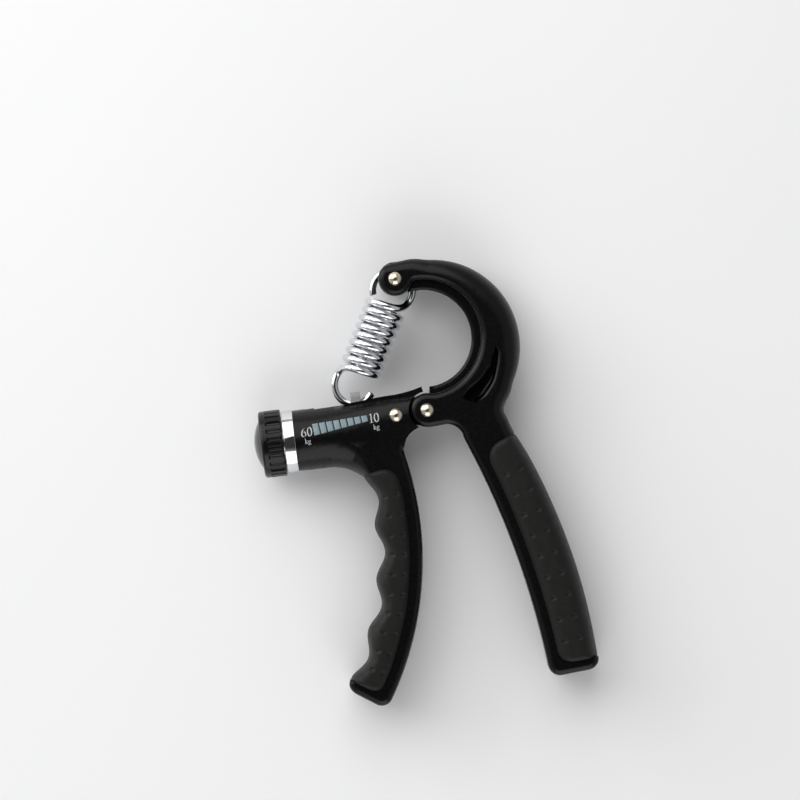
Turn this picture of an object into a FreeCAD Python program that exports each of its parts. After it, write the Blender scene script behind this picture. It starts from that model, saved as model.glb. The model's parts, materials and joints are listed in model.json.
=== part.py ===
import FreeCAD, Part
import math
import os
import Sketcher
from FreeCAD import Placement, Rotation, Vector

os.makedirs("parts", exist_ok=True)
doc = FreeCAD.newDocument("hand_gripper")

# Driving dimensions, millimetres and degrees
# The object lies flat. X and Y are the plane of the handles, Z is up, and the rest plane is Z = 0.
# Places marked "from the pivot" are measured from the main pivot's axis.
SIZES = (
    # the whole
    ("pivot_x", 0.3, "place of the pivot from the middle of the object's outline"),
    ("pivot_y", 24.46, "the same, along Y"),
    ("grip_thickness", 23.0, "rubber grips over their flat faces, they carry the object"),
    ("frame_thickness", 19.0, "both black mouldings over their flat faces"),
    ("frame_rounding", 2.2, "edges of both mouldings"),
    ("cheek_rounding", 4.5, "edges of the finger handle's cheek under the barrel"),
    ("flange_thickness", 9.0, "thin middle flange along the inside of the bow"),
    ("press_gap", 0.02, "clearance of pieces fixed in each other"),
    ("running_gap", 0.05, "clearance of a shaft in its bearing, on the radius"),
    ("cut_overrun", 1.0, "how far a cutter passes the face that it opens"),
    # main hinge
    ("eye_radius", 5.8, "outer ears of the rear arm round the pivot"),
    ("seat_gap", 0.5, "between the ears and the concave seat of the front frame"),
    ("tongue_radius", 5.2, "middle tongue of the front frame round the pivot"),
    ("tongue_thickness", 8.0, "the tongue between the ears"),
    ("tongue_gap", 0.3, "between the tongue and the arm that goes round it"),
    ("pivot_shank_radius", 1.5, "shank of the pivot rivet"),
    ("pivot_bush_wall", 1.0, "steel sleeve in the tongue"),
    ("rivet_head_radius", 2.3, "domed rivet heads"),
    ("rivet_head_height", 1.3, "domed rivet heads"),
    # bow of the rear arm
    ("bow_radius", 29.6, "outer circle of the bow"),
    ("bow_cover", 6.5, "top of the bow above the anchor pin's axis"),
    ("bow_back_wall", 13.5, "bow at its back, between its inner and outer circles"),
    ("bow_inner_x", -1.4, "centre of the bow's inner circle from the pivot"),
    ("bow_inner_y", 24.8, "the same, along Y"),
    ("bow_inner_radius", 19.5, "inner circle of the bow"),
    ("flange_radius", 16.5, "inner edge of the flange"),
    ("flange_drop", 0.5, "centre of that edge below the bow's inner circle"),
    ("notch_width", 2.7, "opening between the flange's end and the front frame's lip"),
    ("lip_end_x", -1.9, "upper corner of the front frame's lip from the pivot"),
    ("lip_end_y", 8.0, "the same, along Y"),
    ("leaf_web", 4.0, "web left between the two leaf-shaped pockets"),
    # spring anchor
    ("anchor_x", -10.9, "anchor pin from the pivot"),
    ("anchor_y", 44.5, "the same, along Y"),
    ("anchor_pin_radius", 1.6, "pin that the spring's loop hangs on"),
    ("boss_radius", 5.7, "forked boss round the anchor pin"),
    ("fork_gap", 3.5, "slot in the boss for the spring's loop"),
    ("loop_clearance", 0.35, "round the loop in the slot"),
    # spring
    ("wire_diameter", 2.5, "spring wire"),
    ("coil_radius", 6.0, "coils, to the middle of the wire"),
    ("coil_pitch", 2.96, "distance between coils"),
    ("loop_radius", 6.8, "upper loop, to the middle of the wire"),
    ("hook_radius", 6.6, "lower hook, to the middle of the wire"),
    ("spring_length", 34.7, "from the loop's centre to the hook's centre"),
    ("spring_lean", 22.2, "coil axis from the Y axis"),
    ("loop_seat_angle", 77.7, "direction from the loop's centre to the anchor pin"),
    ("loop_run_up", 5.8, "from the loop's centre to the first coil"),
    ("spring_seat_gap", 0.06, "between the wire and what it hangs on"),
    # barrel and screw
    ("barrel_mouth_x", -44.7, "mouth of the barrel from the pivot"),
    ("barrel_mouth_y", -10.5, "the same, along Y"),
    ("barrel_tilt", 7.1, "barrel axis from the X axis"),
    ("barrel_mouth_radius", 10.3, "barrel at its mouth"),
    ("barrel_radius", 10.5, "barrel where it starts to pass into the flat-sided body"),
    ("round_length", 15.0, "round stretch of the barrel from its mouth"),
    ("body_start", 29.0, "where the body has flat sides, from the mouth"),
    ("body_length", 43.0, "body from the mouth to past the hinge seat"),
    ("body_flat_drop", 0.8, "how far the body's flat sides lie inside the barrel's radius"),
    ("rivet_seat_depth", 0.2, "seat of the rivet's head in the body's flat side"),
    ("barrel_bore_radius", 8.2, "bore for the slider nut"),
    ("nut_clearance", 0.3, "slider nut in the bore"),
    ("travel_heavy", 12.6, "slider travel towards the knob, to 60 kg"),
    ("travel_light", 4.8, "slider travel away from the knob, to 10 kg"),
    ("thread_radius", 3.0, "lead screw"),
    ("journal_radius", 2.4, "lead screw's inner end"),
    ("block_start", 30.6, "bearing block from the barrel's mouth"),
    ("block_length", 3.4, "bearing block"),
    ("block_radius", 6.2, "bearing block"),
    ("lug_length", 6.6, "bearing block's lug, which the rivet pins"),
    ("lug_height", 4.4, "the lug"),
    ("lug_width", 8.0, "the lug"),
    ("block_rivet_along", 35.0, "rivet beside the pivot, along the barrel from its mouth"),
    ("block_rivet_up", 4.5, "the same rivet, from the barrel's axis"),
    ("block_rivet_radius", 1.3, "shank of that rivet"),
    # slider nut
    ("nut_length", 7.0, "body of the slider nut"),
    ("bridge_length", 3.4, "bridge over the spring's hook, along the barrel"),
    ("bridge_height", 2.5, "the bridge"),
    ("bridge_wall", 1.2, "walls that carry the bridge"),
    ("hook_gap", 0.45, "beside the hook's wire between those walls"),
    ("slot_gap", 0.2, "slider nut's walls in the barrel's slot"),
    # barrel mouth and knob
    ("bush_depth", 3.4, "barrel bush inside the barrel"),
    ("ring_length", 3.7, "chrome ring"),
    ("ring_radius", 10.7, "chrome ring"),
    ("ring_chamfer", 0.35, "edges of the chrome ring"),
    ("head_recess", 0.1, "round the head of the rivet beside the pivot"),
    ("washer_radius", 6.0, "thrust washer"),
    ("washer_thickness", 0.5, "thrust washer"),
    ("thrust_gap", 0.05, "between the thrust washer and the bush"),
    ("knob_gap", 0.35, "between the knob and the ring"),
    ("knob_radius", 11.3, "knob over its ribs"),
    ("knob_length", 7.6, "knob"),
    ("knob_rounding", 1.0, "knob's outer corner"),
    ("knob_wall", 3.0, "knob's rim round the cap"),
    ("knob_floor", 4.0, "knob's solid floor"),
    ("groove_depth", 0.7, "grooves between the knob's ribs"),
    ("groove_width", 1.3, "grooves between the knob's ribs"),
    ("groove_length", 4.6, "grooves, from the knob's inner face"),
    ("square_side", 4.2, "squared end of the lead screw in the knob"),
    ("cap_rim", 1.6, "depth of the cap in the knob"),
    ("cap_height", 2.4, "dome of the cap over the knob's end"),
    ("knob_screw_radius", 1.25, "screw in the end of the lead screw"),
    ("knob_screw_length", 6.0, "screw in the end of the lead screw"),
    ("knob_screw_head_radius", 3.1, "its head"),
    ("knob_screw_head_height", 1.6, "its head"),
    # finger handle of the front frame
    ("finger_top_x", -7.8, "upper end of the finger handle's inner edge, from the pivot"),
    ("finger_top_y", -14.3, "the same, along Y"),
    ("finger_bottom_x", -10.9, "lower end of that edge"),
    ("finger_bottom_y", -95.9, "the same, along Y"),
    ("finger_edge_radius", 110.0, "bend of that edge"),
    ("finger_strip", 4.0, "core that shows beside the rubber"),
    ("finger_core_width", 10.2, "core inside the rubber, from the inner edge"),
    ("finger_grip_width", 14.2, "rubber's mean outer edge, from the inner edge"),
    ("finger_groove_depth", 2.8, "finger grooves from ridge to floor"),
    ("finger_grip_top", 3.2, "rubber's upper end, along the inner edge"),
    ("finger_grip_bottom", 86.2, "rubber's lower end, along the inner edge"),
    ("finger_length", 90.0, "finger handle, along the inner edge"),
    ("finger_end_rounding", 4.0, "corners of that end"),
    # palm handle of the rear arm
    ("palm_top_x", 12.9, "upper end of the palm handle's inner edge, from the pivot"),
    ("palm_top_y", -10.2, "the same, along Y"),
    ("palm_bottom_x", 40.5, "lower end of that edge"),
    ("palm_bottom_y", -84.0, "the same, along Y"),
    ("palm_edge_radius", 287.0, "bend of that edge"),
    ("palm_strip", 3.5, "core that shows beside the rubber"),
    ("palm_core_width", 12.6, "core inside the rubber, from the inner edge"),
    ("palm_grip_width", 17.3, "rubber's outer edge, from the inner edge"),
    ("palm_grip_taper", 1.4, "how much narrower the rubber is at its upper end"),
    ("palm_grip_top", 5.6, "rubber's upper end, along the inner edge"),
    ("palm_grip_bottom", 82.2, "rubber's lower end, along the inner edge"),
    ("palm_length", 85.8, "palm handle, along the inner edge"),
    ("palm_end_rounding", 4.0, "corners of that end"),
    ("waist_x", 26.0, "narrowest place between the bow and the palm grip, from the pivot"),
    ("waist_y", 0.7, "the same, along Y"),
    ("neck_height", 10.3, "least height above the pivot where the neck meets the bow's outer circle"),
    # rubber
    ("finger_grip_rounding", 1.5, "edges of the finger grip"),
    ("palm_grip_rounding", 3.0, "edges of the palm grip"),
    ("grip_corner", 3.5, "lower corner of each grip beside its strip"),
    ("grip_shoulder", 6.0, "upper corner of each grip beside its strip"),
)

# Outlines as shares, chosen by hand, of the sizes that they follow
CROTCH_SHARES = ((0.34, 0.51), (0.55, 0.47), (0.74, 0.54), (0.90, 0.71))
WAIST_SHARES = ((1.058, -0.585), (1.02, 0.42), (1.075, 0.88))
BROW_SHARES = ((0.455, 0.172), (0.682, 0.114))
PALM_SIDE_SHARES = (0.0, 0.45, 0.85)
LEAF_RIGHT_SHARES = (
    (0.734, 0.698), (0.753, 0.623), (0.749, 0.525), (0.709, 0.333), (0.632, 0.197), (0.539, 0.084))
LEAF_LEFT_SHARES = ((0.375, 0.126), (0.468, 0.229), (0.562, 0.309), (0.632, 0.398), (0.688, 0.515))
LEAF_END_SHARE = (-1.0, -0.3)
TONGUE_ROOT_SHARE = 0.7
NOTCH_ROOT_SHARE = 0.7
SEAT_THROAT_SHARES = ((0.615, 0.495), (0.83, 0.615), (0.96, 0.785))
CHEEK_SHARES = ((0.495, 1.78), (0.55, 1.455), (0.625, 1.20), (0.70, 1.065))
EDGE_FINDING_SHARE = 2000
STRAIGHT_SHARE = 2000
PARALLEL_SHARE = 1e-6
WAIST_ANGLE = -22.0
BOW_TOP_ANGLE = 92.0
BOSS_TOP_ANGLE = 122.0
BOSS_END_ANGLE = 335.0
INNER_START_ANGLE = 97.0
INNER_END_ANGLE = -76.0
EYE_START_ANGLE = 90.0
EYE_END_ANGLE = 270.0
SEAT_HIDDEN_ANGLE = 190.0
SEAT_TOP_ANGLE = 90.0
TONGUE_END_ANGLE = 90.0
FLANGE_START_ANGLE = -82.0
FLANGE_END_ANGLE = 108.0
TONGUE_SLOT_ANGLES = (75.0, 290.0)
LOOP_SWINGS = (-17.5, 0.0, 6.0)
ROUND_SQUARENESS = 2.0
BODY_SQUARENESS_SHARES = (2.9, 3.8)
SECTION_POINTS = 16
FINGERS = 4
WAVE_POINTS = 4
INSIDE_BODY_SHARE = (0.66, 0.75)
LIP_TOP_SHARES = ((0.62, -0.19), (0.50, -0.30), (0.36, -0.42), (0.205, -0.535), (0.13, -0.62))
LIP_ROOT_SHARE = (0.68, 0.05)
DEGREES_AROUND = 360.0
KNOB_RIBS = 24
COILS = 8

sheet = doc.addObject("Spreadsheet::Sheet", "sizes")
for row, (alias, number, meaning) in enumerate(SIZES, start=1):
    sheet.set("A%d" % row, alias)
    sheet.set("B%d" % row, str(number))
    sheet.set("C%d" % row, meaning)
    sheet.setAlias("B%d" % row, alias)
doc.recompute()


class Size:
    """A size that keeps its formula on the sheet beside its value."""

    def __init__(self, value, formula):
        self.value = value
        self.formula = formula

    def __add__(self, other):
        other = as_size(other)
        return Size(self.value + other.value, "(%s + %s)" % (self.formula, other.formula))

    def __sub__(self, other):
        other = as_size(other)
        return Size(self.value - other.value, "(%s - %s)" % (self.formula, other.formula))

    def __rsub__(self, other):
        return as_size(other) - self

    def __mul__(self, other):
        other = as_size(other)
        return Size(self.value * other.value, "(%s * %s)" % (self.formula, other.formula))

    def __truediv__(self, other):
        other = as_size(other)
        return Size(self.value / other.value, "(%s / %s)" % (self.formula, other.formula))

    def __neg__(self):
        return Size(-self.value, "(-%s)" % self.formula)

    def __float__(self):
        return float(self.value)

    __radd__ = __add__
    __rmul__ = __mul__


def as_size(number):
    return number if isinstance(number, Size) else Size(float(number), "%.9f" % float(number))


class Sheet:
    """The sheet's cells by their alias."""

    def __getattr__(self, alias):
        return Size(float(sheet.get(alias)), "sizes.%s" % alias)


S = Sheet()
NOTHING = as_size(0.0)


def bind(thing, **sizes):
    """Give properties their sizes, each bound to its formula on the sheet."""
    for name, size in sizes.items():
        thing.setExpression(name, as_size(size).formula)


def place(thing, x, y, z, turn=NOTHING, axis=Vector(0, 0, 1)):
    """Put an object at a place, turned about one axis, bound to the sheet."""
    thing.Placement = Placement(Vector(float(x), float(y), float(z)), Rotation(axis, float(turn)))
    thing.setExpression("Placement.Base.x", as_size(x).formula)
    thing.setExpression("Placement.Base.y", as_size(y).formula)
    thing.setExpression("Placement.Base.z", as_size(z).formula)


# Places that several pieces share
MID = S.grip_thickness / 2
PIVOT = (S.pivot_x, S.pivot_y, MID)
TILT = math.radians(float(S.barrel_tilt))
MOUTH = (S.pivot_x + S.barrel_mouth_x, S.pivot_y + S.barrel_mouth_y, MID)


# Plane geometry, in the plane of the handles and from the pivot
def polar(centre, radius, angle):
    """The point at an angle, in degrees, on a circle."""
    turn = math.radians(angle)
    return centre + Vector(math.cos(turn), math.sin(turn), 0) * radius


def circle_arc(centre, radius, start, end):
    """One arc of a circle, between two angles in degrees."""
    middle = polar(centre, radius, (start + end) / 2)
    return [Part.Arc(polar(centre, radius, start), middle, polar(centre, radius, end))]


def line(start, end):
    return [Part.LineSegment(start, end)]


def arc_from(start, direction, end):
    """The arc that leaves a point in a direction and reaches an end, or a line where it is straight."""
    chord = end - start
    across = chord - direction * chord.dot(direction)
    if across.Length < chord.Length / STRAIGHT_SHARE:
        return Part.LineSegment(start, end)
    radius = chord.Length ** 2 / (2 * across.Length)
    centre = start + across.normalize() * radius
    outward = (start - centre).normalize() + (end - centre).normalize()
    return Part.Arc(start, centre + outward.normalize() * radius, end)


def biarc(start, start_way, end, end_way):
    """Two arcs that leave one point in a direction and arrive at another in a direction, with no kink."""
    chord = end - start
    both = start_way + end_way
    bend = 2 * (1 - start_way.dot(end_way))
    reach = chord.dot(both)
    if bend < PARALLEL_SHARE:
        length = chord.Length ** 2 / (4 * chord.dot(end_way))
    else:
        length = (-reach + math.sqrt(reach ** 2 + bend * chord.Length ** 2)) / bend
    joint = (start + end + (start_way - end_way) * length) / 2
    joint_way = (joint - start - start_way * length).normalize()
    return [arc_from(start, start_way, joint), arc_from(joint, joint_way, end)]


def ways_through(points, first=None, last=None):
    """The direction of the smooth line at each of its points, that of the circle through three of them."""
    ways = []
    for before, point, after in zip(points, points[1:], points[2:]):
        back = point - before
        ahead = after - point
        ways.append((back * (ahead.Length / back.Length) + ahead * (back.Length / ahead.Length)).normalize())
    if first is None:
        chord = (points[1] - points[0]).normalize()
        first = chord * (2 * chord.dot(ways[0])) - ways[0] if ways else chord
    if last is None:
        chord = (points[-1] - points[-2]).normalize()
        last = chord * (2 * chord.dot(ways[-1])) - ways[-1] if ways else chord
    return [first] + ways + [last]


def arcs_through(points, ways):
    """Arcs through the points, in the given direction at each."""
    arcs = []
    for index in range(len(points) - 1):
        arcs += biarc(points[index], ways[index], points[index + 1], ways[index + 1])
    return arcs


def smooth(points, first=None, last=None):
    """Arcs through the points with no kink between them."""
    return arcs_through(points, ways_through(points, first, last))


def end_of(edges):
    return edges[-1].EndPoint


def flat(x, y):
    return Vector(float(x), float(y), 0)


class HandleEdge:
    """The inner edge of a handle, an arc from its upper to its lower end, and places beside it."""

    def __init__(self, top, bottom, radius, side):
        chord = bottom - top
        half = chord.Length / 2
        right = Vector(-chord.y, chord.x, 0).normalize()
        self.radius = radius
        self.side = side
        self.centre = top + chord / 2 - right * math.sqrt(radius ** 2 - half ** 2)
        self.start = math.degrees(math.atan2(top.y - self.centre.y, top.x - self.centre.x))
        self.length = radius * 2 * math.asin(half / radius)

    def angle(self, along):
        return self.start - math.degrees(float(along) / self.radius)

    def reach(self, across):
        return self.radius + self.side * float(across)

    def point(self, along, across):
        """The point at a length along the edge and a distance across the handle."""
        return polar(self.centre, self.reach(across), self.angle(along))

    def run(self, first, last, across):
        """The arc beside the edge from one length to another."""
        return circle_arc(self.centre, self.reach(across), self.angle(first), self.angle(last))

    def down(self, along):
        """The direction along the edge towards the handle's lower end."""
        turn = math.radians(self.angle(along) - 90)
        return Vector(math.cos(turn), math.sin(turn), 0)

    def out(self, along):
        """The direction across the handle, away from the other handle."""
        turn = math.radians(self.angle(along))
        return Vector(math.cos(turn), math.sin(turn), 0) * self.side


FINGER = HandleEdge(
    flat(S.finger_top_x, S.finger_top_y), flat(S.finger_bottom_x, S.finger_bottom_y),
    float(S.finger_edge_radius), -1)
PALM = HandleEdge(
    flat(S.palm_top_x, S.palm_top_y), flat(S.palm_bottom_x, S.palm_bottom_y),
    float(S.palm_edge_radius), 1)

# Places of the spring, from the pivot
ANCHOR = flat(S.anchor_x, S.anchor_y)
LEAN = math.radians(float(S.spring_lean))
SPRING_UP = Vector(math.sin(LEAN), math.cos(LEAN), 0)
SPRING_RIGHT = Vector(math.cos(LEAN), -math.sin(LEAN), 0)
WIRE_RADIUS = float(S.wire_diameter) / 2
LOOP_SEAT = float(S.loop_radius) - WIRE_RADIUS - float(S.anchor_pin_radius) - float(S.spring_seat_gap)
LOOP_CENTRE = polar(ANCHOR, -LOOP_SEAT, float(S.loop_seat_angle))
HOOK_CENTRE = LOOP_CENTRE - SPRING_UP * float(S.spring_length)

# The hook's place along the barrel and above its axis
BARREL_WAY = Vector(math.cos(TILT), math.sin(TILT), 0)
BARREL_UP = Vector(-math.sin(TILT), math.cos(TILT), 0)
BARREL_MOUTH = flat(S.barrel_mouth_x, S.barrel_mouth_y)
HOOK_ALONG = (HOOK_CENTRE - BARREL_MOUTH).dot(BARREL_WAY)
HOOK_UP = (HOOK_CENTRE - BARREL_MOUTH).dot(BARREL_UP)
HOOK_INNER = float(S.hook_radius) - WIRE_RADIUS
HALF_BRIDGE = float(S.bridge_length) / 2
NUT_WIDTH = S.wire_diameter + S.hook_gap * 2 + S.bridge_wall * 2
BRIDGE_UNDER = HOOK_UP - math.sqrt(HOOK_INNER ** 2 - HALF_BRIDGE ** 2) + float(S.spring_seat_gap)


# Helpers for bodies and sketches
def add_body(label):
    body = doc.addObject("PartDesign::Body", label)
    body.Label = label
    return body


def origin_plane(body, role):
    return next(plane for plane in body.Origin.OriginFeatures if plane.Role == role)


def add_sketch(body, name, role="XY_Plane", offset=None):
    sketch = body.newObject("Sketcher::SketchObject", name)
    sketch.AttachmentSupport = [(origin_plane(body, role), "")]
    sketch.MapMode = "FlatFace"
    if offset is not None:
        sketch.AttachmentOffset = offset
    return sketch


def draw_corners(sketch, corners):
    """A closed figure of straight sides, each corner held at its sizes on the sheet."""
    places = [flat(x, y) for x, y in corners]
    count = len(places)
    for index in range(count):
        sketch.addGeometry(Part.LineSegment(places[index], places[(index + 1) % count]), False)
    for index in range(count):
        sketch.addConstraint(Sketcher.Constraint("Coincident", index, 2, (index + 1) % count, 1))
    for index, corner in enumerate(corners):
        for kind, value in zip(("DistanceX", "DistanceY"), corner):
            value = as_size(value)
            number = sketch.addConstraint(Sketcher.Constraint(kind, -1, 1, index, 1, value.value))
            sketch.setExpression("Constraints[%d]" % number, value.formula)


def draw_circle(sketch, x, y, radius):
    """A circle whose centre and radius are held at their sizes on the sheet."""
    index = sketch.addGeometry(Part.Circle(flat(x, y), Vector(0, 0, 1), float(radius)), False)
    centre = (-1, 1, index, 3)
    held = (("DistanceX", centre, x), ("DistanceY", centre, y), ("Radius", (index,), radius))
    for kind, where, value in held:
        value = as_size(value)
        number = sketch.addConstraint(Sketcher.Constraint(kind, *where, value.value))
        sketch.setExpression("Constraints[%d]" % number, value.formula)


def draw_edges(sketch, edges):
    sketch.addGeometry(edges, False)


def pad_both_ways(body, sketch, name, thickness):
    """A slab centred on the sketch's plane."""
    pad = body.newObject("PartDesign::Pad", name)
    pad.Profile = sketch
    pad.Midplane = True
    bind(pad, Length=thickness)
    return pad


def pocket_both_ways(body, sketch, name, thickness):
    """A slot centred on the sketch's plane."""
    pocket = body.newObject("PartDesign::Pocket", name)
    pocket.Profile = sketch
    pocket.Midplane = True
    bind(pocket, Length=thickness)
    return pocket


def turned(body, sketch, name, kind="PartDesign::Revolution", axis="H_Axis"):
    """A turned form, or with the kind Groove a turned cut, about an axis of its sketch."""
    feature = body.newObject(kind, name)
    feature.Profile = sketch
    feature.ReferenceAxis = (sketch, [axis])
    feature.Angle = DEGREES_AROUND
    return feature


def middle_of(curve):
    return curve.value(curve.FirstParameter / 2 + curve.LastParameter / 2)


def face_edges(slab, thickness, stretches):
    """Names of a slab's edges, on both its flat faces, that follow the given stretches of its outline."""
    half = float(thickness) / 2
    near = half / EDGE_FINDING_SHARE
    wanted = [middle_of(curve) + Vector(0, 0, half * side) for curve in stretches for side in (1, -1)]
    names = []
    for number, edge in enumerate(slab.Shape.Edges, start=1):
        spot = edge.valueAt(edge.FirstParameter / 2 + edge.LastParameter / 2)
        if any(spot.distanceToPoint(other) < near for other in wanted):
            names.append("Edge%d" % number)
    return names


def round_edges(body, base, name, radius, names):
    fillet = body.newObject("PartDesign::Fillet", name)
    fillet.Base = (base, names)
    bind(fillet, Radius=radius)
    return fillet


def barrel_offset():
    """A sketch frame at the barrel's mouth, its horizontal axis along the barrel."""
    return Placement(BARREL_MOUTH, Rotation(Vector(0, 0, 1), float(S.barrel_tilt)))


# Front handle frame: barrel, body, tongue, lip and the finger handle's core in one moulding
FINGER_RIDGE = S.finger_grip_width + S.finger_groove_depth / 2
SEAT = float(S.eye_radius + S.seat_gap)
BODY_HALF = S.barrel_radius - S.body_flat_drop
HEAD_FACE = BODY_HALF - S.rivet_seat_depth
SEAT_LOW_ANGLE = 246.0
LIP_LEAN = 2.0
MOUTH_X = float(S.barrel_mouth_x)
MOUTH_Y = float(S.barrel_mouth_y)


def mouth_shares(shares):
    return [flat(MOUTH_X * across, MOUTH_Y * up) for across, up in shares]


def throat_points():
    """From the low end of the hinge seat to the top of the finger handle's inner edge."""
    top = flat(S.finger_top_x, S.finger_top_y)
    points = [polar(Vector(), SEAT, SEAT_LOW_ANGLE)]
    points += [flat(top.x * across, top.y * up) for across, up in SEAT_THROAT_SHARES]
    return points + [FINGER.point(0, 0)]


def finger_core_outline():
    """The handle below the barrel, its top hidden inside the body, then its outer edge and its cheek."""
    end = float(S.finger_length)
    corner = float(S.finger_end_rounding)
    low = float(S.finger_grip_bottom)
    high = float(S.finger_grip_top)
    ridge = float(FINGER_RIDGE)
    core = float(S.finger_core_width)
    throat = throat_points()
    outer = smooth(throat, last=FINGER.down(0))
    outer += FINGER.run(0, end - corner, 0)
    outer += biarc(
        FINGER.point(end - corner, 0), FINGER.down(end - corner),
        FINGER.point(end, corner), FINGER.out(end))
    outer += line(FINGER.point(end, corner), FINGER.point(end, ridge - corner))
    outer += biarc(
        FINGER.point(end, ridge - corner), FINGER.out(end),
        FINGER.point(low, ridge), -FINGER.down(low))
    under = line(FINGER.point(low, ridge), FINGER.point(low, core))
    under += FINGER.run(low, high, core)
    under += line(FINGER.point(high, core), FINGER.point(high, ridge))
    cheek = smooth([FINGER.point(high, ridge)] + mouth_shares(CHEEK_SHARES))
    inside = mouth_shares([INSIDE_BODY_SHARE])[0]
    hidden = polar(Vector(), SEAT, SEAT_HIDDEN_ANGLE)
    inner = line(cheek[-1].EndPoint, inside)
    inner += line(inside, hidden)
    inner += circle_arc(Vector(), SEAT, SEAT_HIDDEN_ANGLE, SEAT_LOW_ANGLE)
    return outer + under + cheek + inner, outer, cheek


def squircle(half_height, half_thickness, squareness):
    """A closed smooth section, |x/a|^n + |y/b|^n = 1: a circle at 2, flat-sided as n grows."""
    points = []
    for index in range(SECTION_POINTS):
        turn = 2 * math.pi * index / SECTION_POINTS
        reach = (abs(math.cos(turn)) ** squareness + abs(math.sin(turn)) ** squareness) ** (-1 / squareness)
        points.append(flat(half_height * reach * math.cos(turn), half_thickness * reach * math.sin(turn)))
    curve = Part.BSplineCurve()
    curve.interpolate(points, True)
    return curve


def add_section(body, name, along, half_height, half_thickness, squareness):
    """A section across the barrel's axis at a length from its mouth."""
    base = BARREL_MOUTH + BARREL_WAY * float(along)
    offset = Placement(Vector(base.y, 0, base.x), Rotation(Vector(0, 1, 0), float(S.barrel_tilt)))
    sketch = add_sketch(body, name, "YZ_Plane", offset)
    sketch.addGeometry(squircle(float(half_height), float(half_thickness), squareness), False)
    return sketch


def barrel_box(body, name, first, last, low, high):
    """A sketch of a box in the barrel's frame, its sides held at their sizes."""
    sketch = add_sketch(body, name, offset=barrel_offset())
    draw_corners(sketch, ((first, low), (last, low), (last, high), (first, high)))
    return sketch


def cut_all(body, sketch, name):
    """A slot right through the thickness."""
    return pocket_both_ways(body, sketch, name, S.grip_thickness + S.cut_overrun * 2)


def lip_outline():
    """The ridge on the body's upper edge that ends in a point over the hinge, its root inside the body."""
    top = mouth_shares(LIP_TOP_SHARES) + [flat(S.lip_end_x, S.lip_end_y)]
    tip = top[-1]
    tip_angle = math.degrees(math.atan2(tip.y, tip.x)) - LIP_LEAN
    foot = polar(Vector(), float(S.tongue_radius), tip_angle)
    hidden = mouth_shares([LIP_ROOT_SHARE])[0]
    edges = smooth(top)
    edges += line(tip, foot)
    edges += line(foot, hidden)
    edges += line(hidden, top[0])
    return edges


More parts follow.
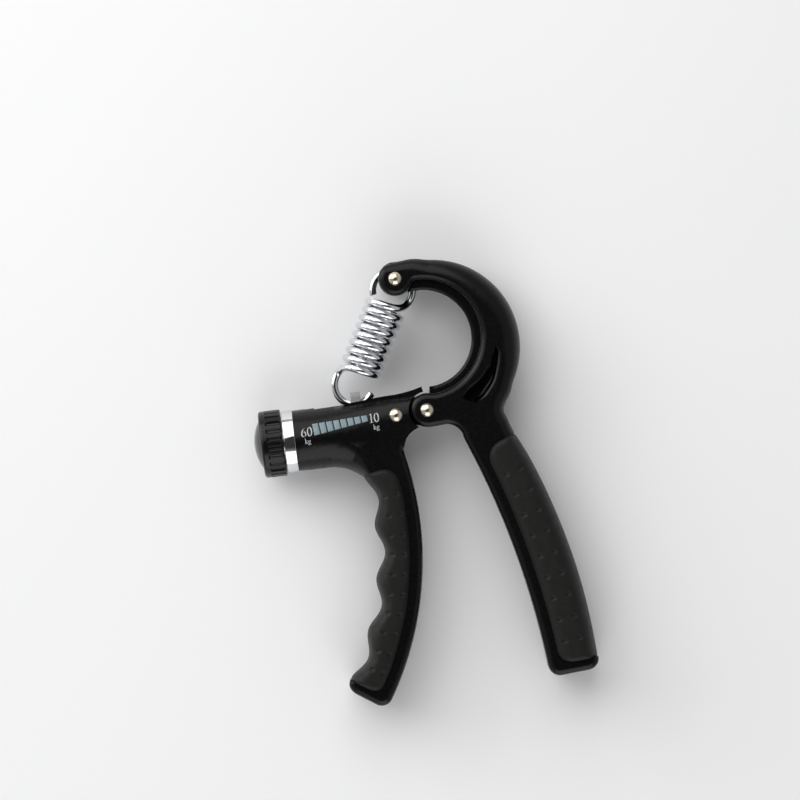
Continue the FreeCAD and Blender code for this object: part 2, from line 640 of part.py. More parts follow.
def front_handle_frame():
    body = add_body("front_handle_frame")
    place(body, *PIVOT)

    core = add_sketch(body, "finger_core_outline")
    outline, outer, cheek = finger_core_outline()
    draw_edges(core, outline)
    slab = pad_both_ways(body, core, "finger_core", S.frame_thickness)
    doc.recompute()
    names = face_edges(slab, S.frame_thickness, outer)
    rounded = round_edges(body, slab, "finger_core_rounding", S.frame_rounding, names)
    doc.recompute()
    names = face_edges(rounded, S.frame_thickness, cheek)
    round_edges(body, rounded, "cheek_rounding_edges", S.cheek_rounding, names)

    round_part = [
        add_section(
            body, "mouth_section", NOTHING, S.barrel_mouth_radius, S.barrel_mouth_radius, ROUND_SQUARENESS),
        add_section(body, "round_section", S.round_length, S.barrel_radius, S.barrel_radius, ROUND_SQUARENESS),
        add_section(body, "body_section", S.body_start, S.barrel_radius, BODY_HALF, BODY_SQUARENESS_SHARES[0]),
        add_section(body, "seat_section", S.body_length, S.barrel_radius, BODY_HALF, BODY_SQUARENESS_SHARES[1]),
    ]
    loft = body.newObject("PartDesign::AdditiveLoft", "barrel_and_body")
    loft.Profile = round_part[0]
    loft.Sections = round_part[1:]

    lip = add_sketch(body, "lip_outline")
    draw_edges(lip, lip_outline())
    pad_both_ways(body, lip, "lip", S.flange_thickness)

    trim = add_sketch(body, "hinge_seat_outline")
    throat = throat_points()
    far = float(S.bow_radius)
    edges = circle_arc(Vector(), SEAT, SEAT_TOP_ANGLE, SEAT_LOW_ANGLE)
    edges += smooth(throat, last=FINGER.down(0))
    edges += FINGER.run(0, far / 2, 0)
    below = end_of(edges)
    edges += line(below, flat(far, below.y))
    edges += line(flat(far, below.y), flat(far, far))
    edges += line(flat(far, far), flat(0, far))
    edges += line(flat(0, far), flat(0, SEAT))
    draw_edges(trim, edges)
    cut_all(body, trim, "hinge_seat")

    tongue = add_sketch(body, "tongue_outline")
    reach = float(S.tongue_radius)
    root = -SEAT - reach / 2
    high = reach * TONGUE_ROOT_SHARE
    edges = circle_arc(Vector(), reach, -TONGUE_END_ANGLE, TONGUE_END_ANGLE)
    edges += line(flat(0, reach), flat(root, high))
    edges += line(flat(root, high), flat(root, -reach))
    edges += line(flat(root, -reach), flat(0, -reach))
    draw_edges(tongue, edges)
    pad_both_ways(body, tongue, "tongue", S.tongue_thickness)

    # Bore for the slider nut, and the seat of the bearing block with its lug
    bore = add_sketch(body, "bore_profile", offset=barrel_offset())
    draw_corners(bore, (
        (-S.cut_overrun, NOTHING),
        (-S.cut_overrun, S.barrel_bore_radius),
        (S.block_start, S.barrel_bore_radius),
        (S.block_start, S.block_radius + S.press_gap),
        (S.block_start + S.block_length + S.press_gap, S.block_radius + S.press_gap),
        (S.block_start + S.block_length + S.press_gap, NOTHING),
    ))
    turned(body, bore, "bore", "PartDesign::Groove")
    lug_low = S.block_rivet_up - S.lug_height / 2 - S.press_gap
    lug_high = S.block_rivet_up + S.lug_height / 2 + S.press_gap
    lug_end = S.block_start + S.lug_length + S.press_gap
    lug = barrel_box(body, "lug_seat_outline", S.block_start, lug_end, lug_low, lug_high)
    pocket_both_ways(body, lug, "lug_seat", S.lug_width + S.press_gap * 2)

    # Slot along the barrel's top, wide for the nut's walls and narrow for the hook's wire
    along = as_size(HOOK_ALONG)
    wall_half = S.bridge_length / 2 + S.slot_gap
    wide = barrel_box(
        body, "nut_slot_outline", along - S.travel_heavy - wall_half, along + S.travel_light + wall_half,
        NOTHING, S.barrel_radius * 2)
    pocket_both_ways(body, wide, "nut_slot", NUT_WIDTH + S.slot_gap * 2)
    hook_half = S.hook_radius - S.wire_diameter / 2
    narrow = barrel_box(
        body, "hook_slot_outline", along - S.travel_heavy - hook_half, along + S.travel_light + hook_half,
        NOTHING, S.barrel_radius * 2)
    pocket_both_ways(body, narrow, "hook_slot", S.wire_diameter + S.hook_gap * 2)

    holes = add_sketch(body, "bush_hole_outline")
    draw_circle(holes, NOTHING, NOTHING, S.pivot_shank_radius + S.running_gap + S.pivot_bush_wall)
    cut_all(body, holes, "bush_hole")
    rivet = add_sketch(body, "block_rivet_hole_outline", offset=barrel_offset())
    draw_circle(rivet, S.block_rivet_along, S.block_rivet_up, S.block_rivet_radius + S.press_gap)
    cut_all(body, rivet, "block_rivet_hole")
    for side, name in ((1, "front"), (-1, "back")):
        face = Placement(Vector(0, 0, float(HEAD_FACE) * side), Rotation())
        seat = add_sketch(body, name + "_head_seat_outline", offset=face * barrel_offset())
        draw_circle(seat, S.block_rivet_along, S.block_rivet_up, S.rivet_head_radius + S.head_recess)
        pocket = body.newObject("PartDesign::Pocket", name + "_head_seat")
        pocket.Profile = seat
        pocket.Reversed = side > 0
        bind(pocket, Length=S.rivet_head_height)
    return body


# Rear arm: bow, forked boss, hinge ears and the palm handle's core in one moulding
BOW_INNER = flat(S.bow_inner_x, S.bow_inner_y)
BOW = flat(
    S.bow_inner_x + S.bow_inner_radius + S.bow_back_wall - S.bow_radius, S.anchor_y + S.bow_cover - S.bow_radius)
FLANGE = BOW_INNER - flat(0, S.flange_drop)
EYE = float(S.eye_radius)


def tangent(angle, turn):
    """The direction along a circle at an angle, anticlockwise for a turn of 1."""
    way = math.radians(angle + 90 * turn)
    return Vector(math.cos(way), math.sin(way), 0)


def arm_outline():
    """The whole arm, anticlockwise from the top of the hinge eye, and the stretches that are rounded."""
    bow = float(S.bow_radius)
    inner = float(S.bow_inner_radius)
    boss = float(S.boss_radius)
    end = float(S.palm_length)
    corner = float(S.palm_end_rounding)
    low = float(S.palm_grip_bottom)
    high = float(S.palm_grip_top)
    outer = float(S.palm_grip_width)
    core = float(S.palm_core_width)
    top = flat(S.palm_top_x, S.palm_top_y)

    lower = circle_arc(Vector(), EYE, EYE_START_ANGLE, EYE_END_ANGLE)
    crotch = [polar(Vector(), EYE, EYE_END_ANGLE)] + [flat(top.x * x, top.y * y) for x, y in CROTCH_SHARES] + [top]
    lower += smooth(crotch, first=Vector(1, 0, 0), last=PALM.down(0))
    lower += PALM.run(0, end - corner, 0)
    lower += biarc(
        PALM.point(end - corner, 0), PALM.down(end - corner),
        PALM.point(end, corner), PALM.out(end))
    lower += line(PALM.point(end, corner), PALM.point(end, outer - corner))
    lower += biarc(
        PALM.point(end, outer - corner), PALM.out(end),
        PALM.point(low, outer), -PALM.down(low))
    shoulder = PALM.point(high, outer - float(S.palm_grip_taper))
    under = line(PALM.point(low, outer), PALM.point(low, core))
    under += PALM.run(low, high, core)
    under += line(PALM.point(high, core), shoulder)
    waist = flat(S.waist_x, S.waist_y)
    below, first, second = [flat(waist.x * across, EYE * up) for across, up in WAIST_SHARES]
    joint = max(WAIST_ANGLE, -math.degrees(math.asin((BOW.y - float(S.neck_height)) / bow)))
    neck = [shoulder, below, waist, first, second, polar(BOW, bow, joint)]
    edges = smooth(neck, last=tangent(joint, 1))
    edges += circle_arc(BOW, bow, joint, BOW_TOP_ANGLE)
    first = polar(BOW, bow, BOW_TOP_ANGLE)
    last = polar(ANCHOR, boss, BOSS_TOP_ANGLE)
    brow = [first] + [first + (last - first) * along + flat(0, boss * up) for along, up in BROW_SHARES] + [last]
    edges += smooth(brow, first=tangent(BOW_TOP_ANGLE, 1), last=tangent(BOSS_TOP_ANGLE, 1))
    edges += circle_arc(ANCHOR, boss, BOSS_TOP_ANGLE, BOSS_END_ANGLE)
    edges += biarc(
        polar(ANCHOR, boss, BOSS_END_ANGLE), tangent(BOSS_END_ANGLE, 1),
        polar(BOW_INNER, inner, INNER_START_ANGLE), tangent(INNER_START_ANGLE, -1))
    edges += circle_arc(BOW_INNER, inner, INNER_START_ANGLE, INNER_END_ANGLE)
    edges += biarc(
        polar(BOW_INNER, inner, INNER_END_ANGLE), tangent(INNER_END_ANGLE, -1),
        polar(Vector(), EYE, EYE_START_ANGLE), tangent(EYE_START_ANGLE, 1))
    return lower + under + edges, lower + edges


def flange_outline():
    """The ring inside the bow, from the notch over the hinge to the forked boss."""
    inner = float(S.bow_inner_radius) + float(S.frame_rounding)
    edge = float(S.flange_radius)
    notch_x = float(S.lip_end_x + S.notch_width)
    notch_angle = -math.degrees(math.acos((notch_x - FLANGE.x) / edge))
    notch = polar(FLANGE, edge, notch_angle)
    sunk = flat(notch_x, EYE * NOTCH_ROOT_SHARE)
    edges = circle_arc(FLANGE, edge, FLANGE_END_ANGLE, notch_angle)
    edges += line(notch, sunk)
    edges += line(sunk, polar(BOW_INNER, inner, FLANGE_START_ANGLE))
    edges += circle_arc(BOW_INNER, inner, FLANGE_START_ANGLE, FLANGE_END_ANGLE)
    edges += line(polar(BOW_INNER, inner, FLANGE_END_ANGLE), polar(FLANGE, edge, FLANGE_END_ANGLE))
    return edges


def leaf_outline():
    """The pocket in the bow's back, down its right side, round its lower end and up its left side."""
    reach = float(S.bow_inner_x + S.bow_inner_radius + S.bow_back_wall)
    right = [flat(reach * x, reach * y) for x, y in LEAF_RIGHT_SHARES]
    left = [flat(reach * x, reach * y) for x, y in LEAF_LEFT_SHARES]
    edges = smooth(right)
    edges += smooth([right[-1], left[0]], first=flat(*LEAF_END_SHARE).normalize())
    edges += smooth(left)
    edges += line(left[-1], right[0])
    return edges


def rear_arm_frame():
    body = add_body("rear_arm_frame")
    place(body, *PIVOT)
    outline = add_sketch(body, "arm_outline")
    edges, rounded = arm_outline()
    draw_edges(outline, edges)
    slab = pad_both_ways(body, outline, "arm", S.frame_thickness)
    doc.recompute()
    round_edges(body, slab, "arm_rounding", S.frame_rounding, face_edges(slab, S.frame_thickness, rounded))

    flange = add_sketch(body, "flange_outline")
    draw_edges(flange, flange_outline())
    pad_both_ways(body, flange, "flange", S.flange_thickness)

    leaf_depth = (S.frame_thickness - S.leaf_web) / 2
    for side, role in ((1, "leaf_front"), (-1, "leaf_back")):
        height = (S.leaf_web / 2) * side
        leaf = add_sketch(body, role + "_outline", offset=Placement(Vector(0, 0, float(height)), Rotation()))
        draw_edges(leaf, leaf_outline())
        pocket = body.newObject("PartDesign::Pocket", role)
        pocket.Profile = leaf
        pocket.Reversed = side > 0
        bind(pocket, Length=leaf_depth + S.cut_overrun)

    # Slot between the two ears for the front frame's tongue
    tongue = add_sketch(body, "tongue_slot_outline")
    near = float(S.tongue_radius + S.tongue_gap)
    wide = SEAT
    edges = circle_arc(Vector(), wide, TONGUE_SLOT_ANGLES[0], TONGUE_SLOT_ANGLES[1])
    edges += line(polar(Vector(), wide, TONGUE_SLOT_ANGLES[1]), polar(Vector(), near, TONGUE_SLOT_ANGLES[1]))
    edges += circle_arc(Vector(), near, TONGUE_SLOT_ANGLES[1], TONGUE_SLOT_ANGLES[0] + DEGREES_AROUND)
    edges += line(polar(Vector(), near, TONGUE_SLOT_ANGLES[0]), polar(Vector(), wide, TONGUE_SLOT_ANGLES[0]))
    draw_edges(tongue, edges)
    pocket_both_ways(body, tongue, "tongue_slot", S.tongue_thickness + S.tongue_gap * 2)

    # Slot of the forked boss: the loop's circle where it hangs at rest and at both ends of the setting
    loop_reach = S.loop_radius + S.wire_diameter / 2 + S.loop_clearance
    for number, swing in enumerate(LOOP_SWINGS):
        centre = polar(ANCHOR, -LOOP_SEAT, float(S.loop_seat_angle) + swing)
        slot = add_sketch(body, "fork_slot_outline_%d" % number)
        draw_circle(slot, centre.x, centre.y, loop_reach)
        pocket_both_ways(body, slot, "fork_slot_%d" % number, S.fork_gap)

    for name, x, y, radius in (
        ("pivot_hole", NOTHING, NOTHING, S.pivot_shank_radius),
        ("anchor_hole", S.anchor_x, S.anchor_y, S.anchor_pin_radius),
    ):
        hole = add_sketch(body, name + "_outline")
        draw_circle(hole, x, y, radius + S.press_gap)
        cut_all(body, hole, name)
    return body


# Rubber grips
def finger_side():
    """The finger side as arcs: ridges at both ends and between the fingers, along a cosine."""
    low = float(S.finger_grip_bottom)
    high = float(S.finger_grip_top)
    half = float(S.finger_groove_depth) / 2
    pace = 2 * math.pi * FINGERS / (low - high)
    points = []
    ways = []
    for index in range(FINGERS * WAVE_POINTS + 1):
        along = low + (high - low) * index / (FINGERS * WAVE_POINTS)
        phase = pace * (along - high)
        points.append(FINGER.point(along, float(S.finger_grip_width) + half * math.cos(phase)))
        ways.append((FINGER.out(along) * (half * pace * math.sin(phase)) - FINGER.down(along)).normalize())
    return arcs_through(points, ways)


def palm_side():
    low = float(S.palm_grip_bottom)
    high = float(S.palm_grip_top)
    width = float(S.palm_grip_width)
    points = [PALM.point(low + (high - low) * share, width) for share in PALM_SIDE_SHARES]
    points.append(PALM.point(high, width - float(S.palm_grip_taper)))
    return smooth(points)


def grip_outline(handle, strip, top, bottom, side):
    """Down the strip, round the lower corner, up the hand's side and back over the shoulder."""
    corner = float(S.grip_corner)
    shoulder = float(S.grip_shoulder)
    edges = handle.run(top + shoulder, bottom - corner, strip)
    edges += biarc(
        handle.point(bottom - corner, strip), handle.down(bottom - corner),
        handle.point(bottom, strip + corner), handle.out(bottom))
    edges += line(handle.point(bottom, strip + corner), side[0].StartPoint)
    edges += side
    edges += line(side[-1].EndPoint, handle.point(top, strip + shoulder))
    edges += biarc(
        handle.point(top, strip + shoulder), -handle.out(top),
        handle.point(top + shoulder, strip), handle.down(top + shoulder))
    return edges


def grip(label, handle, strip, top, bottom, core_width, rounding, side):
    body = add_body(label)
    place(body, *PIVOT)
    outline = add_sketch(body, label + "_outline")
    edges = grip_outline(handle, float(strip), float(top), float(bottom), side)
    draw_edges(outline, edges)
    pad = pad_both_ways(body, outline, label + "_rubber", S.grip_thickness)
    doc.recompute()
    round_edges(body, pad, label + "_rounding", rounding, face_edges(pad, S.grip_thickness, edges))
    core = add_sketch(body, label + "_core_outline")
    far = float(core_width + S.press_gap)
    beside = float(-S.cut_overrun)
    first = float(top - S.cut_overrun)
    last = float(bottom + S.cut_overrun)
    edges = handle.run(first, last, beside)
    edges += line(handle.point(last, beside), handle.point(last, far))
    edges += handle.run(last, first, far)
    edges += line(handle.point(first, far), handle.point(first, beside))
    draw_edges(core, edges)
    pocket_both_ways(body, core, label + "_core_slot", S.frame_thickness + S.press_gap * 2)
    return body


def finger_grip():
    return grip(
        "finger_grip", FINGER, S.finger_strip, S.finger_grip_top, S.finger_grip_bottom, S.finger_core_width,
        S.finger_grip_rounding, finger_side())


def palm_grip():
    return grip(
        "palm_grip", PALM, S.palm_strip, S.palm_grip_top, S.palm_grip_bottom, S.palm_core_width,
        S.palm_grip_rounding, palm_side())


# Turned pieces in the barrel's own frame: X along its axis from the mouth, Y up its side
KNOB_FACE = -(S.ring_length + S.knob_gap)
KNOB_END = KNOB_FACE - S.knob_length
BUSH_FACE = KNOB_FACE + S.washer_thickness + S.thrust_gap
BLOCK_END = S.block_start + S.block_length
NUT_RADIUS = S.barrel_bore_radius - S.nut_clearance
BUSH_RADIUS = S.barrel_bore_radius - S.press_gap
THREAD_BORE = S.thread_radius + S.running_gap


def barrel_body(label):
    body = add_body(label)
    place(body, *MOUTH, turn=S.barrel_tilt)
    return body


def turned_on_barrel(label, corners):
    """A turned piece on the barrel's axis from its corners, each a length along it and a radius."""
    body = barrel_body(label)
    profile = add_sketch(body, label + "_profile")
    draw_corners(profile, corners)
    turned(body, profile, label + "_turned")
    return body


def sleeve(label, first, last, inner, outer):
    return turned_on_barrel(label, ((first, inner), (last, inner), (last, outer), (first, outer)))


def trim_ring():
    edge = S.ring_radius - S.ring_chamfer
    return turned_on_barrel("trim_ring", (
        (-S.ring_length, S.barrel_bore_radius),
        (-S.ring_length, edge),
        (S.ring_chamfer - S.ring_length, S.ring_radius),
        (-S.ring_chamfer, S.ring_radius),
        (NOTHING, edge),
        (NOTHING, S.barrel_bore_radius),
    ))


def barrel_bush():
    return sleeve("barrel_bush", BUSH_FACE, S.bush_depth, THREAD_BORE, BUSH_RADIUS)


def thrust_washer():
    return sleeve(
        "thrust_washer", KNOB_FACE, KNOB_FACE + S.washer_thickness, S.thread_radius + S.press_gap, S.washer_radius)


def knob():
    body = turned_on_barrel("knob", (
        (KNOB_FACE, NOTHING),
        (KNOB_FACE, S.knob_radius),
        (KNOB_END + S.knob_rounding, S.knob_radius),
        (KNOB_END, S.knob_radius - S.knob_rounding),
        (KNOB_END, S.knob_radius - S.knob_wall),
        (KNOB_FACE - S.knob_floor, S.knob_radius - S.knob_wall),
        (KNOB_FACE - S.knob_floor, NOTHING),
    ))
    square = add_sketch(body, "square_hole_outline", "YZ_Plane")
    half = S.square_side / 2 + S.press_gap
    draw_corners(square, ((-half, -half), (half, -half), (half, half), (-half, half)))
    hole = body.newObject("PartDesign::Pocket", "square_hole")
    hole.Profile = square
    hole.Type = "ThroughAll"
    hole.Midplane = True
    face = add_sketch(
        body, "groove_outline", "YZ_Plane", Placement(Vector(0, 0, float(KNOB_FACE)), Rotation()))
    low = S.knob_radius - S.groove_depth
    high = S.knob_radius + S.cut_overrun
    half = S.groove_width / 2
    draw_corners(face, ((-half, high), (-half / 2, low), (half / 2, low), (half, high)))
    groove = body.newObject("PartDesign::Pocket", "groove")
    groove.Profile = face
    bind(groove, Length=S.groove_length)
    around = body.newObject("PartDesign::PolarPattern", "grooves")
    around.Originals = [groove]
    around.Axis = (face, ["N_Axis"])
    around.Angle = DEGREES_AROUND
    around.Occurrences = KNOB_RIBS
    body.Tip = around
    return body


def knob_cap():
    """A disc with a domed outer face, pressed into the knob's end."""
    body = barrel_body("knob_cap")
    radius = float(S.knob_radius - S.knob_wall - S.press_gap)
    end = float(KNOB_END)
    height = float(S.cap_height)
    sphere = (radius ** 2 + height ** 2) / (2 * height)
    centre = end - height + sphere
    half = math.asin(radius / sphere) / 2
    inner = end + float(S.cap_rim)
    profile = add_sketch(body, "cap_profile")
    edges = [Part.Arc(
        flat(end - height, 0), flat(centre - sphere * math.cos(half), sphere * math.sin(half)), flat(end, radius))]
    edges += line(flat(end, radius), flat(inner, radius))
    edges += line(flat(inner, radius), flat(inner, 0))
    edges += line(flat(inner, 0), flat(end - height, 0))
    draw_edges(profile, edges)
    turned(body, profile, "cap_turned")
    return body


def lead_screw():
    body = turned_on_barrel("lead_screw", (
        (KNOB_FACE, NOTHING),
        (KNOB_FACE, S.thread_radius),
        (S.block_start - S.thrust_gap, S.thread_radius),
        (S.block_start - S.thrust_gap, S.journal_radius),
        (BLOCK_END, S.journal_radius),
        (BLOCK_END, NOTHING),
    ))
    square = add_sketch(
        body, "squared_end_outline", "YZ_Plane", Placement(Vector(0, 0, float(KNOB_FACE)), Rotation()))
    half = S.square_side / 2
    draw_corners(square, ((-half, -half), (half, -half), (half, half), (-half, half)))
    end = body.newObject("PartDesign::Pad", "squared_end")
    end.Profile = square
    end.Reversed = True
    bind(end, Length=S.knob_floor)
    bore = add_sketch(body, "end_bore_profile")
    outer = KNOB_FACE - S.knob_floor
    draw_corners(bore, (
        (outer - S.cut_overrun, NOTHING),
        (outer - S.cut_overrun, S.knob_screw_radius + S.press_gap),
        (outer + S.knob_screw_length + S.press_gap, S.knob_screw_radius + S.press_gap),
        (outer + S.knob_screw_length + S.press_gap, NOTHING),
    ))
    turned(body, bore, "end_bore", "PartDesign::Groove")
    return body


def knob_screw():
    seat = KNOB_FACE - S.knob_floor
    return turned_on_barrel("knob_screw", (
        (seat - S.knob_screw_head_height, NOTHING),
        (seat - S.knob_screw_head_height, S.knob_screw_head_radius),
        (seat, S.knob_screw_head_radius),
        (seat, S.knob_screw_radius),
        (seat + S.knob_screw_length, S.knob_screw_radius),
        (seat + S.knob_screw_length, NOTHING),
    ))


def bearing_block():
    """A round block behind the screw with a flat lug that the rivet pins."""
    body = turned_on_barrel("bearing_block", (
        (S.block_start, NOTHING),
        (S.block_start, S.block_radius),
        (BLOCK_END, S.block_radius),
        (BLOCK_END, NOTHING),
    ))
    lug = add_sketch(body, "lug_outline")
    low = S.block_rivet_up - S.lug_height / 2
    high = S.block_rivet_up + S.lug_height / 2
    last = S.block_start + S.lug_length
    draw_corners(lug, ((S.block_start, low), (last, low), (last, high), (S.block_start, high)))
    pad_both_ways(body, lug, "lug", S.lug_width)
    bore = add_sketch(body, "journal_bore_profile")
    draw_corners(bore, (
        (S.block_start - S.cut_overrun, NOTHING),
        (S.block_start - S.cut_overrun, S.journal_radius + S.running_gap),
        (BLOCK_END + S.running_gap, S.journal_radius + S.running_gap),
        (BLOCK_END + S.running_gap, NOTHING),
    ))
    turned(body, bore, "journal_bore", "PartDesign::Groove")
    hole = add_sketch(body, "lug_hole_outline")
    draw_circle(hole, S.block_rivet_along, S.block_rivet_up, S.block_rivet_radius + S.press_gap)
    cut_all(body, hole, "lug_hole")
    return body


def slider_nut():
    """A round nut on the lead screw with a bridge that the spring's hook goes under."""
    middle = as_size(HOOK_ALONG)
    half = S.nut_length / 2
    body = turned_on_barrel("slider_nut", (
        (middle - half, THREAD_BORE),
        (middle + half, THREAD_BORE),
        (middle + half, NUT_RADIUS),
        (middle - half, NUT_RADIUS),
    ))
    bridge_top = as_size(BRIDGE_UNDER) + S.bridge_height
    first = middle - S.bridge_length / 2
    last = middle + S.bridge_length / 2
    tower = add_sketch(body, "bridge_outline")
    root = THREAD_BORE + S.bridge_wall
    draw_corners(tower, ((first, root), (last, root), (last, bridge_top), (first, bridge_top)))
    pad_both_ways(body, tower, "bridge", NUT_WIDTH)
    window = add_sketch(body, "window_outline")
    low = NUT_RADIUS + S.nut_clearance
    under = as_size(BRIDGE_UNDER)
    first = first - S.cut_overrun
    last = last + S.cut_overrun
    draw_corners(window, ((first, low), (last, low), (last, under), (first, under)))
    pocket_both_ways(body, window, "window", S.wire_diameter + S.hook_gap * 2)
    return body


# Rivets, pin and sleeve across the handles
def domed_rivet(label, x, y, shank_radius, face):
    """A shank between two opposite faces, each at a distance from the middle plane, with a dome on each."""
    body = add_body(label)
    place(body, x, y, MID)
    shank = float(shank_radius)
    head = float(S.rivet_head_radius)
    height = float(S.rivet_head_height)
    face = float(face)
    sphere = (head ** 2 + height ** 2) / (2 * height)
    half = math.asin(head / sphere) / 2
    centre = face + height - sphere
    edges = []
    for side in (1, -1):
        edges += line(flat(shank, 0), flat(shank, face * side))
        edges += line(flat(shank, face * side), flat(head, face * side))
        middle = flat(sphere * math.sin(half), (centre + sphere * math.cos(half)) * side)
        edges.append(Part.Arc(flat(head, face * side), middle, flat(0, (face + height) * side)))
    edges += line(flat(0, face + height), flat(0, -face - height))
    profile = add_sketch(body, label + "_profile", "XZ_Plane")
    draw_edges(profile, edges)
    turned(body, profile, label + "_turned", axis="V_Axis")
    return body


def pivot_bush():
    body = add_body("pivot_bush")
    place(body, *PIVOT)
    outer = S.pivot_shank_radius + S.running_gap + S.pivot_bush_wall - S.press_gap
    ring = add_sketch(body, "pivot_bush_outline")
    draw_circle(ring, NOTHING, NOTHING, outer)
    draw_circle(ring, NOTHING, NOTHING, S.pivot_shank_radius + S.running_gap)
    pad_both_ways(body, ring, "sleeve", S.tongue_thickness)
    return body


# Extension spring, one wire from the cut end of the upper loop to the cut end of the lower hook
HOOK_CUT_ANGLE = -5.0
HOOK_END_ANGLE = -180.0
LOOP_CUT_ANGLE = 203.0
QUARTERS = 4
GAP_STEPS = 24


def spring_point(right, up, toward):
    """A place in the spring's frame: right and up in the plane of the handles, the last towards +Z."""
    return LOOP_CENTRE + SPRING_RIGHT * right + SPRING_UP * up + Vector(0, 0, 1) * toward


def spring_way(right, up, toward=0.0):
    return (SPRING_RIGHT * right + SPRING_UP * up + Vector(0, 0, 1) * toward).normalize()


def loop_arcs(up, radius, first, last):
    """Arcs in the middle plane about a centre on the coil's axis, from one angle to another, in degrees."""
    count = max(1, round(abs(last - first) / (DEGREES_AROUND / QUARTERS)))
    arcs = []
    for index in range(count):
        angles = [math.radians(first + (last - first) * (index + share) / count) for share in (0.0, 0.5, 1.0)]
        arcs.append(Part.Arc(*[spring_point(radius * math.cos(a), up + radius * math.sin(a), 0) for a in angles]))
    return arcs


def spring_path():
    """Hook, coils and loop, with u = start + pitch * turns, right = R * sin and toward = R * cos."""
    coil = float(S.coil_radius)
    pitch = float(S.coil_pitch)
    loop = float(S.loop_radius)
    hook = float(S.hook_radius)
    coil_top = -float(S.loop_run_up)
    coil_bottom = coil_top - COILS * pitch
    hook_up = -float(S.spring_length)
    rise = pitch / (2 * math.pi * coil)
    path = loop_arcs(hook_up, hook, HOOK_CUT_ANGLE, HOOK_END_ANGLE)
    path += biarc(
        spring_point(-hook, hook_up, 0), spring_way(0, 1),
        spring_point(0, coil_bottom, coil), spring_way(1, rise))
    for half_turn in range(2 * COILS):
        side = 1 if half_turn % 2 == 0 else -1
        low = coil_bottom + pitch / 2 * half_turn
        path += biarc(
            spring_point(0, low, coil * side), spring_way(side, rise),
            spring_point(0, low + pitch / 2, -coil * side), spring_way(-side, rise))
    path += biarc(
        spring_point(0, coil_top, coil), spring_way(1, rise),
        spring_point(loop, 0, 0), spring_way(0, 1))
    return path + loop_arcs(0, loop, 0.0, LOOP_CUT_ANGLE)


def least_gap(path):
    """Least distance between two stretches of the wire's surface, measured on points along its middle."""
    points = []
    lengths = []
    length = 0.0
    for arc in path:
        span = arc.LastParameter - arc.FirstParameter
        for step in range(GAP_STEPS):
            points.append(arc.value(arc.FirstParameter + span * step / GAP_STEPS))
            lengths.append(length + arc.length() * step / GAP_STEPS)
        length += arc.length()
    apart = 2 * float(S.wire_diameter)
    least = length
    for one in range(len(points)):
        for other in range(one + 1, len(points)):
            if lengths[other] - lengths[one] > apart:
                least = min(least, points[one].distanceToPoint(points[other]))
    return least - float(S.wire_diameter)


def extension_spring():
    path = spring_path()
    print("spring: least gap of the wire to itself %.3f mm" % least_gap(path))
    wire = Part.Wire([arc.toShape() for arc in path])
    first = path[0]
    start = first.value(first.FirstParameter)
    way = first.tangent(first.FirstParameter)[0]
    profile = Part.Wire([Part.Circle(start, way, WIRE_RADIUS).toShape()])
    shell = Part.BRepOffsetAPI.MakePipeShell(wire)
    shell.add(profile)
    shell.build()
    shell.makeSolid()
    spring = doc.addObject("Part::Feature", "extension_spring")
    spring.Label = "extension_spring"
    spring.Shape = shell.shape()
    place(spring, *PIVOT)
    return spring


BLOCK_RIVET = (
    BARREL_MOUTH + BARREL_WAY * float(S.block_rivet_along) + BARREL_UP * float(S.block_rivet_up))
ARM_FACE = S.frame_thickness / 2
PIECES = [
    front_handle_frame(),
    finger_grip(),
    rear_arm_frame(),
    palm_grip(),
    domed_rivet("pivot_rivet", PIVOT[0], PIVOT[1], S.pivot_shank_radius, ARM_FACE),
    domed_rivet(
        "spring_anchor_pin", PIVOT[0] + S.anchor_x, PIVOT[1] + S.anchor_y, S.anchor_pin_radius, ARM_FACE),
    domed_rivet(
        "bearing_block_rivet", PIVOT[0] + as_size(BLOCK_RIVET.x), PIVOT[1] + as_size(BLOCK_RIVET.y),
        S.block_rivet_radius, HEAD_FACE),
    extension_spring(),
    slider_nut(),
    trim_ring(),
    knob(),
    knob_cap(),
    lead_screw(),
    barrel_bush(),
    bearing_block(),
    thrust_washer(),
    knob_screw(),
    pivot_bush(),
]

doc.recompute()
for thing in doc.Objects:
    faults = [state for state in thing.State if state in ("Invalid", "Error")]
    if faults:
        raise SystemExit("%s is %s" % (thing.Name, faults))
for piece in PIECES:
    shape = piece.Shape
    if shape.isNull() or not shape.isValid() or len(shape.Solids) != 1:
        raise SystemExit("%s is not one valid solid" % piece.Label)
    shape.exportStep("parts/%s.step" % piece.Label)
print("%d pieces" % len(PIECES))
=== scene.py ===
import json
import math

import bmesh
import bpy
import numpy as np
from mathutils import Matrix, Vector
from mathutils.bvhtree import BVHTree


